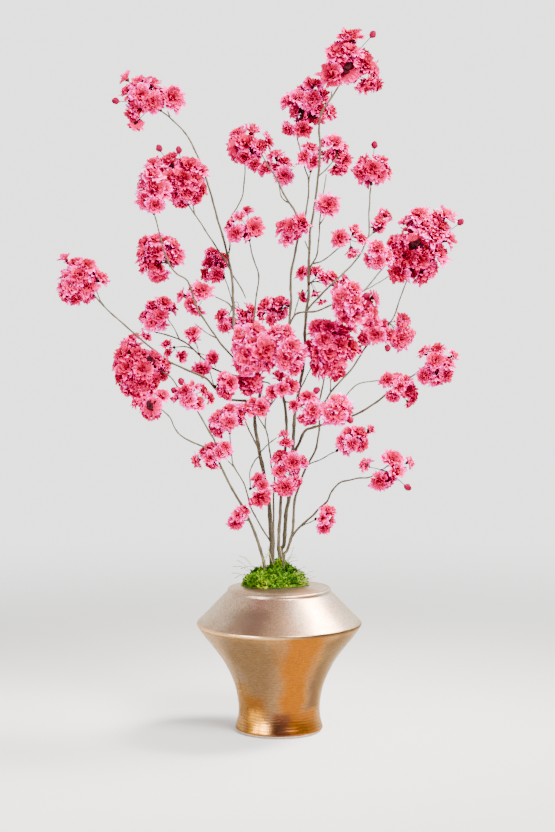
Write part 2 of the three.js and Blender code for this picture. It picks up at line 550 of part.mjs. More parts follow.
// A closed three.js geometry as a solid that can be joined and cut.
function toSolid(geometry) {
  const shape = geometry.clone();
  shape.deleteAttribute("normal");
  shape.deleteAttribute("uv");
  const merged = mergeVertices(shape, 1e-3);
  const make = (triVerts) =>
    new wasm.Manifold(
      new wasm.Mesh({ numProp: 3, vertProperties: merged.attributes.position.array, triVerts }),
    );
  const triVerts = new Uint32Array(merged.index.array);
  const solid = make(triVerts);
  return solid.volume() > 0 ? solid : make(triVerts.reverse());
}

// A solid as a named mesh in one of the colours above.
function toMesh(name, solid, colour) {
  const mesh = solid.getMesh();
  const geometry = new THREE.BufferGeometry();
  geometry.setAttribute("position", new THREE.BufferAttribute(mesh.vertProperties, mesh.numProp));
  geometry.setIndex(new THREE.BufferAttribute(mesh.triVerts, 1));
  geometry.computeVertexNormals();
  const made = new THREE.Mesh(geometry, new THREE.MeshStandardMaterial(COLOURS[colour]));
  made.name = name;
  return made;
}

const join = (solids) => solids.reduce((whole, piece) => whole.add(piece));
const largest = (solid) => solid.decompose().sort((a, b) => b.volume() - a.volume())[0];

function middleOf(solid) {
  const { min, max } = solid.boundingBox();
  return new THREE.Vector3(...min).add(new THREE.Vector3(...max)).multiplyScalar(0.5);
}

// A turned solid from its outline, [radius, height] from bottom to top.
function turned(outline, segments) {
  const points = outline.map(([radius, height]) => new THREE.Vector2(radius, height));
  return toSolid(new THREE.LatheGeometry(points, segments).rotateX(Math.PI / 2));
}

// A geometry whose own +Y is turned to a direction, at a place.
function aimed(geometry, direction, position) {
  const turn = new THREE.Quaternion().setFromUnitVectors(new THREE.Vector3(0, 1, 0), direction);
  return toSolid(geometry.applyQuaternion(turn).translate(position.x, position.y, position.z));
}

// A tapered twig, straight from each point of its route to the next. The surplus makes it thicker and
// longer, for cutting its neighbours clear of it.
function shoot({ from, to, route }, surplus = 0) {
  const points = route.map(place);
  const last = points.length - 1;
  const lengthen = (end, next) => end.add(end.clone().sub(next).setLength(surplus));
  if (surplus) {
    lengthen(points[0], points[1]);
    lengthen(points[last], points[last - 1]);
  }
  const corners = [];
  const side = new THREE.Vector3(1, 0, 0);
  points.forEach((point, i) => {
    const along = points[Math.min(i + 1, last)].clone().sub(points[Math.max(i - 1, 0)]).normalize();
    side.addScaledVector(along, -side.dot(along)).normalize();
    const over = along.clone().cross(side);
    const radius = THREE.MathUtils.lerp(from, to, i / last) + surplus;
    for (let k = 0; k < TWIG_SIDES; k++) {
      const angle = (2 * Math.PI * k) / TWIG_SIDES;
      const across = side.clone().multiplyScalar(radius * Math.cos(angle));
      corners.push(...point.clone().add(across).addScaledVector(over, radius * Math.sin(angle)));
    }
  });
  const faces = [];
  for (let k = 0; k < TWIG_SIDES; k++) {
    const next = (k + 1) % TWIG_SIDES;
    for (let ring = 0; ring < last * TWIG_SIDES; ring += TWIG_SIDES) {
      faces.push(ring + k, ring + next, ring + TWIG_SIDES + k);
      faces.push(ring + next, ring + TWIG_SIDES + next, ring + TWIG_SIDES + k);
    }
    const end = last * TWIG_SIDES;
    if (k > 1) faces.push(0, k, k - 1, end, end + k - 1, end + k);
  }
  const twig = new THREE.BufferGeometry();
  twig.setAttribute("position", new THREE.Float32BufferAttribute(corners, 3));
  twig.setIndex(faces);
  return toSolid(twig);
}

// ---- Vase, foam and moss ----

function vase() {
  const foot = [
    [0, 0],
    [FOOT_RADIUS, 0],
    [FOOT_RADIUS + 3, 2],
    [FOOT_EDGE.radius, FOOT_EDGE.height],
  ];
  const top = [
    [COLLAR.radius, COLLAR.height],
    [TOP_RADIUS, TOP_HEIGHT],
    [MOUTH_RADIUS, MOUTH_HEIGHT],
  ];
  return turned([...foot, ...FLARE, ...top, ...[...HOLLOW].reverse(), [0, FLOOR_HEIGHT]], VASE_SEGMENTS);
}

function foam() {
  const sides = HOLLOW.map(([radius, height]) => {
    const lower = height > BELLY.height ? FOAM_GAP : -CLEARANCE;
    return [radius - FOAM_GAP, height - lower];
  });
  const neck = MOUTH_RADIUS - FOAM_GAP;
  return turned(
    [[0, FLOOR_HEIGHT + CLEARANCE], ...sides, [neck, MOUTH_HEIGHT], [0, MOUTH_HEIGHT]],
    VASE_SEGMENTS,
  );
}

function moss() {
  const rest = MOUTH_HEIGHT + CLEARANCE;
  const rise = MOSS_TOP - rest;
  const heap = [
    [0, rest],
    [MOSS_RADIUS * 0.96, rest],
    [MOSS_RADIUS, rest + rise * 0.16],
    [MOSS_RADIUS * 0.8, rest + rise * 0.46],
    [MOSS_RADIUS * 0.5, rest + rise * 0.72],
    [MOSS_RADIUS * 0.24, rest + rise * 0.95],
    [0, MOSS_TOP],
  ];
  return turned(heap, MOSS_SEGMENTS)
    .scale([1, MOSS_DEPTH / MOSS_RADIUS, 1])
    .translate([MOSS_CENTRE.x, MOSS_CENTRE.y, 0]);
}

// ---- Sprays ----

// A blossom as a blunt cup that faces away from the heart of its spray.
function blossom({ centre, radius }, heart) {
  const cup = [
    [0, -0.8],
    [1, 0.05],
    [0, 0.75],
  ];
  const points = cup.map(([across, along]) => new THREE.Vector2(across * radius, along * radius));
  const facing = centre.clone().sub(heart).normalize();
  return aimed(new THREE.LatheGeometry(points, BLOSSOM_SIDES), facing, centre);
}

// Blossoms that crowd together press into one tuft: the skin drawn over their cups.
function tuftsOf(flowers, heart) {
  const seeds = [];
  for (const { centre } of flowers) {
    if (seeds.every((seed) => seed.distanceTo(centre) > TUFT_SPACING)) seeds.push(centre);
  }
  const crowds = seeds.map(() => []);
  for (const flower of flowers) {
    const gaps = seeds.map((seed) => seed.distanceTo(flower.centre));
    crowds[gaps.indexOf(Math.min(...gaps))].push(blossom(flower, heart));
  }
  return crowds.map((cups, i) => ({ solid: wasm.Manifold.hull(cups), seed: seeds[i] }));
}

function stalk(start, end, surplus) {
  const along = end.clone().sub(start);
  const radius = STALK_RADIUS + surplus;
  const rod = new THREE.CylinderGeometry(radius, radius, along.length() + surplus, 4);
  return aimed(rod, along.normalize(), start.clone().add(end).multiplyScalar(0.5));
}

// One spray: the tufts of its blossoms and buds, and the spur and stalks that carry them.
function spray({ spur, open, buds }) {
  const root = place(spur);
  const seated = ([across, up, away]) => place([across, up, spur[2] + away]);
  const flowers = [
    ...open.map((entry) => ({ centre: seated(entry), radius: entry[3] })),
    ...buds.map((entry) => ({ centre: seated(entry), radius: BUD_RADIUS })),
  ];
  const heart = flowers
    .reduce((sum, flower) => sum.add(flower.centre), new THREE.Vector3())
    .divideScalar(flowers.length)
    .lerp(root, 0.3);
  flowers.sort((a, b) => a.centre.distanceTo(root) - b.centre.distanceTo(root));
  const tufts = tuftsOf(flowers, heart);
  const carriers = (surplus = 0) => [
    toSolid(new THREE.IcosahedronGeometry(SPUR_RADIUS + surplus).translate(root.x, root.y, root.z)),
    ...tufts.map(({ seed }) => stalk(root, seed, surplus)),
  ];
  return { tufts, carriers };
}

// Whether the boxes round two solids meet.
function near(one, other) {
  const [a, b] = [one.boundingBox(), other.boundingBox()];
  return [0, 1, 2].every((i) => a.min[i] < b.max[i] && b.min[i] < a.max[i]);
}

// Tufts of two sprays that press on each other meet on a flat, with the clearance between them.
function pressApart(one, other) {
  const common = one.solid.intersect(other.solid);
  if (common.isEmpty()) return;
  const across = middleOf(other.solid).sub(middleOf(one.solid)).normalize();
  const flat = across.dot(middleOf(common));
  other.solid = other.solid.trimByPlane(across.toArray(), flat + CLEARANCE / 2);
  one.solid = one.solid.trimByPlane(across.negate().toArray(), CLEARANCE / 2 - flat);
}

// ---- Assembly ----

const stemSolids = Object.entries(STEMS).map(([name, shoots]) => [name, join(shoots.map((s) => shoot(s)))]);
const aroundStems = join(Object.values(STEMS).flat().map((s) => shoot(s, CLEARANCE)));

const sprays = Object.entries(SPRAYS).map(([name, entry]) => ({ name, ...spray(entry) }));
sprays.forEach((one, i) => {
  for (const other of sprays.slice(i + 1)) {
    for (const tuft of one.tufts) {
      other.tufts.filter(({ solid }) => near(tuft.solid, solid)).forEach((hit) => pressApart(tuft, hit));
    }
  }
});
const spraySolids = sprays.map(({ name, tufts, carriers }) => {
  const pressed = join(tufts.map(({ solid }) => solid));
  const intruders = sprays
    .filter((other) => other.name !== name)
    .flatMap((other) => other.carriers(CLEARANCE))
    .filter((solid) => near(solid, pressed));
  const cleared = intruders.length ? pressed.subtract(join(intruders)) : pressed;
  return [name, largest(join([cleared, ...carriers()]).subtract(aroundStems))];
});

const arrangement = new THREE.Group();
const holder = new THREE.Group();
holder.add(
  toMesh("vase", vase(), "glaze"),
  toMesh("floral_foam", foam().subtract(aroundStems), "foam"),
  toMesh("moss", largest(moss().subtract(aroundStems)), "moss"),
);
const stems = new THREE.Group();
stems.add(...stemSolids.map(([name, solid]) => toMesh(name, solid, "bark")));
const blossoms = new THREE.Group();
blossoms.add(...spraySolids.map(([name, solid]) => toMesh(name, solid, "petals")));
arrangement.add(holder, stems, blossoms);

export default arrangement;
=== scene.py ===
"""Cherry blossom branches in a glazed vase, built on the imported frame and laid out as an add-on."""

import math
import random

import bpy
import numpy as np
from mathutils import Matrix, Quaternion, Vector, noise


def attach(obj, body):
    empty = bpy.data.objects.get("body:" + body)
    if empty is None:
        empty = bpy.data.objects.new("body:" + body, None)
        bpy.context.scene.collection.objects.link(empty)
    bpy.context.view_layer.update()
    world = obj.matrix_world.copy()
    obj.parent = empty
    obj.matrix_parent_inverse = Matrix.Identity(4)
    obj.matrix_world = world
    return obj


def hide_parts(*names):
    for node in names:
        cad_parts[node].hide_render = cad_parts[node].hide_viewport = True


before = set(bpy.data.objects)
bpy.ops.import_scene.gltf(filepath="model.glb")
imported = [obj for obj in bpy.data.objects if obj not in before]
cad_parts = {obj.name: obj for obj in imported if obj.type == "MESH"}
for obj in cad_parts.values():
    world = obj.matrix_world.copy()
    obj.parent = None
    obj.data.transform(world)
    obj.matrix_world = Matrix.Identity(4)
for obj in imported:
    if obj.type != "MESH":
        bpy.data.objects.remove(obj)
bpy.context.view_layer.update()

bl_info = {
    "name": "Cherry blossom vase",
    "version": (1, 0, 0),
    "blender": (4, 2, 0),
    "location": "3D Viewport > Sidebar > Blossom",
    "description": "Builds blossoming branches, moss and a lustre glazed vase",
    "category": "Object",
}

MM = 0.001

# Places are [across, up, away] in millimetres: across and up as an eye in front of the vase sees
# them on the upright plane through its axis, and away the depth behind that plane.
EYE_DISTANCE = 3750
EYE_HEIGHT = 879

# How a blossom looks: how pale it is, and whether it turns its face or its back to the eye.
FAIR = "fair"
MID = "mid"
DEEP = "deep"
FACE = "face"
BACK = "back"
SPIKY = "spiky"

# BACK's low tone darkens blossoms that turn away: partly their deeper undersides, partly painted shade
# for the dark patches where they sit.
TONES = {FAIR: 0.14, MID: -0.06, DEEP: -0.32, FACE: 0.02, BACK: -0.38, SPIKY: -0.08}

# ---- The branches ----

# Each stem's shoots: their thickness (radius in millimetres at the two ends) and their route.
STEMS = {
    "stem_low_left": [
        (3.2, 1.8, [
            (-14, 200, -6), (-26, 300, -14), (-39, 345, -24), (-53, 384, -36), (-71, 417, -48),
            (-89, 449, -62), (-104, 480, -76), (-113, 501, -85)
        ]),
        (1.7, 1.1, [
            (-113, 499, -84), (-116, 527, -88), (-125, 545, -90), (-147, 582, -92), (-161, 604, -90),
            (-178, 620, -85), (-194, 642, -75), (-221, 662, -65)
        ]),
        (1.6, 1, [
            (-112, 499, -84), (-136, 518, -95), (-161, 528, -105), (-179, 541, -112),
            (-190, 555, -116), (-197, 571, -120), (-210, 584, -124), (-224, 595, -128)
        ]),
        (1.2, 1, [
            (-53, 384, -36), (-62, 385, -43), (-71, 384, -50)
        ]),
        (1.2, 0.9, [
            (-104, 478, -75), (-112, 484, -78)
        ]),
    ],
    "stem_left": [
        (4.3, 2.7, [
            (-8, 195, 6), (-14, 312, 4), (-14, 346, 4), (-16, 384, 4), (-19, 415, 5), (-26, 456, 6),
            (-35, 507, 8), (-41, 537, 9), (-44, 573, 10), (-36, 606, 11), (-32, 636, 12)
        ]),
        (2.7, 1.2, [
            (-32, 634, 12), (-46, 665, 14), (-64, 699, 16), (-80, 730, 20), (-82, 780, 30),
            (-86, 833, 42), (-91, 856, 48), (-98, 888, 55), (-109, 924, 62), (-124, 978, 70),
            (-142, 1032, 78), (-165, 1076, 85), (-194, 1106, 88), (-210, 1119, 90)
        ]),
        (1.1, 0.9, [
            (-194, 1106, 88), (-199, 1120, 86)
        ]),
        (1.5, 1.1, [
            (-87, 836, 42), (-98, 856, 34), (-111, 874, 26), (-125, 896, 20), (-143, 924, 15),
            (-165, 957, 12)
        ]),
        (1.1, 0.9, [
            (-151, 936, 14), (-156, 962, 18)
        ]),
        (1.5, 1.1, [
            (-92, 862, 49), (-88, 879, 62), (-88, 924, 85), (-75, 948, 95), (-66, 969, 103),
            (-62, 996, 112), (-61, 1023, 118)
        ]),
        (1.3, 1, [
            (-82, 764, 27), (-90, 776, 25), (-104, 784, 20), (-127, 793, 15)
        ]),
        (1.1, 0.9, [
            (-82, 770, 28), (-89, 798, 45), (-98, 822, 62)
        ]),
        (1.3, 1, [
            (-86, 831, 42), (-71, 809, 41), (-60, 786, 42)
        ]),
        (1.5, 1.1, [
            (-46, 664, 14), (-47, 700, 24), (-45, 740, 24), (-43, 775, 22), (-39, 802, 18),
            (-37, 829, 12), (-43, 849, 6), (-50, 870, 0), (-53, 888, -5)
        ]),
        (1.9, 1.1, [
            (-50, 673, 15), (-65, 673, 6), (-79, 678, -4), (-104, 703, -22), (-116, 721, -31),
            (-133, 744, -42), (-150, 775, -53), (-163, 815, -65), (-182, 829, -72), (-194, 842, -76),
            (-201, 858, -79), (-208, 876, -84), (-215, 903, -92), (-223, 935, -105)
        ]),
        (1.1, 0.9, [
            (-163, 814, -65), (-157, 800, -62), (-154, 787, -58)
        ]),
        (1.1, 0.8, [
            (-112, 714, -28), (-134, 726, -20), (-152, 741, -12)
        ]),
        (1.9, 1.1, [
            (-32, 638, 12), (-59, 643, 18), (-98, 651, 22), (-124, 663, 26), (-131, 672, 28),
            (-154, 694, 34), (-179, 712, 42), (-215, 723, 50), (-248, 732, 55)
        ]),
        (1.1, 0.9, [
            (-154, 694, 34), (-170, 699, 45), (-188, 698, 56)
        ]),
        (1.1, 0.9, [
            (-179, 712, 42), (-190, 734, 46), (-203, 753, 48)
        ]),
        (2.2, 1.2, [
            (-38, 600, 10), (-62, 601, 0), (-93, 606, -15), (-116, 625, -28), (-133, 643, -36),
            (-158, 654, -45), (-197, 672, -58), (-228, 696, -68), (-264, 726, -78), (-302, 759, -86),
            (-332, 791, -92)
        ]),
        (1.1, 0.9, [
            (-314, 771, -88), (-322, 784, -86), (-329, 803, -82)
        ]),
        (1.1, 0.9, [
            (-215, 686, -63), (-242, 694, -58)
        ]),
        (1.1, 0.9, [
            (-117, 626, -28), (-125, 656, -24)
        ]),
        (1.5, 1, [
            (-15, 345, 4), (-35, 377, -14), (-52, 411, -30), (-62, 447, -45), (-82, 483, -60),
            (-86, 501, -66), (-89, 541, -78)
        ]),
        (1, 0.9, [
            (-82, 482, -60), (-93, 493, -70)
        ]),
        (1.3, 1, [
            (-34, 503, 8), (-44, 492, -10), (-53, 472, -26), (-52, 444, -42)
        ]),
        (1.6, 1.1, [
            (-38, 517, 8), (-50, 539, -20), (-59, 559, -40), (-64, 572, -54)
        ]),
        (1.2, 1, [
            (-35, 507, 8), (-21, 522, -28), (-4, 535, -36)
        ]),
        (1.4, 1.1, [
            (-32, 636, 12), (-20, 634, 0), (-14, 629, -14)
        ]),
    ],
    "stem_centre_thin": [
        (2.1, 1.1, [
            (-12, 205, -14), (-10, 312, -12), (-10, 384, -10), (-10, 429, -8), (-8, 460, -5),
            (-14, 483, -5), (-17, 510, -10), (-21, 537, -20), (-25, 555, -28), (-23, 579, -36),
            (-15, 594, -42), (-6, 606, -46)
        ]),
        (1.2, 1, [
            (-25, 552, -27), (-35, 568, -38), (-41, 577, -44)
        ]),
    ],
    "stem_centre": [
        (3, 2, [
            (6, 200, -2), (1, 312, -2), (-1, 339, -3), (1, 384, -5), (4, 426, -8), (8, 475, -10),
            (13, 543, -14), (13, 564, -15), (11, 591, -18), (4, 625, -20), (5, 660, -14),
            (13, 705, -4), (19, 753, 2), (22, 780, 2), (20, 807, 2), (22, 834, 0), (26, 856, -4),
            (31, 879, -10), (36, 903, -18)
        ]),
        (1.3, 1, [
            (10, 600, -18), (20, 598, -27), (29, 591, -36)
        ]),
        (1.9, 1.1, [
            (36, 901, -17), (33, 925, -18), (28, 942, -15), (19, 955, -10), (10, 969, 2),
            (-8, 1005, 22), (-21, 1023, 40), (-32, 1044, 62)
        ]),
        (1.2, 1, [
            (19, 955, -10), (8, 962, 12), (2, 973, 40), (-1, 994, 62)
        ]),
        (1.7, 1.1, [
            (35, 900, -17), (43, 918, -12), (47, 936, -2), (51, 960, 14), (53, 996, 36),
            (47, 1014, 44), (40, 1041, 54), (33, 1068, 60), (31, 1086, 64)
        ]),
        (1, 0.9, [
            (53, 994, 35), (56, 1011, 36)
        ]),
        (1.7, 1.1, [
            (16, 735, 0), (28, 755, -10), (42, 761, -18), (72, 764, -36), (100, 777, -50),
            (130, 790, -48), (152, 800, -36), (173, 825, -14), (188, 842, 2)
        ]),
        (1.1, 0.9, [
            (152, 800, -36), (168, 808, 0), (186, 818, 40), (196, 826, 62)
        ]),
        (1.2, 0.9, [
            (26, 752, -8), (34, 780, 8), (42, 802, 26)
        ]),
    ],
    "stem_tall": [
        (3.7, 1.4, [
            (10, 198, 12), (3, 321, 15), (8, 339, 15), (11, 375, 16), (13, 402, 18), (17, 426, 20),
            (24, 505, 25), (26, 546, 27), (29, 582, 30), (37, 627, 32), (44, 672, 31), (46, 699, 30),
            (47, 730, 27), (49, 762, 22), (53, 798, 16), (53, 834, 12), (55, 897, 9), (58, 921, 8),
            (67, 978, 6), (73, 1050, 5), (71, 1086, 5), (73, 1108, 6), (78, 1122, 8), (91, 1140, 11),
            (114, 1176, 16)
        ]),
        (1.1, 0.9, [
            (92, 1141, 11), (94, 1156, 9)
        ]),
        (1.1, 0.9, [
            (69, 1003, 5), (82, 1014, 1), (94, 1027, -2), (103, 1038, 4)
        ]),
        (1.2, 0.9, [
            (55, 867, 10), (51, 877, 3), (46, 889, -4)
        ]),
        (1.8, 1.2, [
            (50, 765, 21), (67, 784, 14), (94, 811, 10), (127, 842, 30), (145, 865, 45),
            (155, 888, 60), (161, 906, 70), (161, 942, 85), (164, 987, 100)
        ]),
        (1.1, 0.9, [
            (157, 893, 62), (168, 903, 76)
        ]),
        (1.4, 1, [
            (54, 840, 12), (60, 849, 2), (68, 864, -14), (71, 897, -42), (74, 944, -84),
            (78, 973, -72), (82, 990, -50), (84, 1007, -26)
        ]),
        (1, 0.9, [
            (72, 917, -60), (82, 932, -78)
        ]),
        (1.3, 1, [
            (60, 848, 3), (76, 852, -20), (91, 863, -44), (109, 878, -68), (126, 891, -88)
        ]),
        (1.3, 1, [
            (35, 615, 31), (44, 634, 20), (54, 655, 8), (60, 668, 0)
        ]),
        (2.6, 1.2, [
            (24, 501, 25), (33, 519, 10), (46, 546, -8), (58, 552, -18), (73, 557, -29),
            (92, 562, -40), (127, 573, -60), (145, 580, -68), (172, 597, -78), (206, 624, -88),
            (235, 643, -95), (267, 667, -105), (283, 676, -110)
        ]),
        (1.3, 0.9, [
            (92, 562, -40), (105, 586, -68), (118, 607, -75), (130, 622, -77), (145, 633, -78),
            (177, 638, -80), (188, 640, -80)
        ]),
    ],
    "stem_right": [
        (2.9, 1.3, [
            (16, 202, -8), (8, 309, -10), (15, 330, -10), (20, 348, -10), (25, 372, -9),
            (26, 393, -8), (28, 420, -6), (33, 438, -4), (46, 474, 0), (55, 492, 2), (64, 510, 4),
            (69, 528, 6), (73, 555, 8), (71, 591, 8), (75, 612, 6), (80, 632, 0), (83, 651, -8)
        ]),
        (1.8, 1.2, [
            (71, 589, 8), (82, 600, 12), (92, 616, 15), (109, 636, 20), (127, 654, 28),
            (145, 681, 38), (159, 703, 46), (199, 742, 62), (217, 785, 75), (229, 818, 85)
        ]),
        (1, 0.9, [
            (92, 615, 15), (93, 636, 4), (88, 650, -10)
        ]),
        (1.2, 1, [
            (52, 486, 2), (62, 490, -16), (73, 494, -36), (91, 505, -74), (103, 510, -98)
        ]),
        (2, 1.2, [
            (20, 350, -10), (31, 366, -16), (55, 388, -36), (73, 406, -55), (87, 420, -72),
            (94, 435, -84), (101, 445, -92), (112, 454, -102), (127, 458, -112), (145, 462, -124),
            (163, 463, -135), (184, 474, -146)
        ]),
        (1.1, 0.9, [
            (40, 374, -22), (54, 380, -50), (65, 386, -76)
        ]),
    ],
}

# ---- The blossoms ----

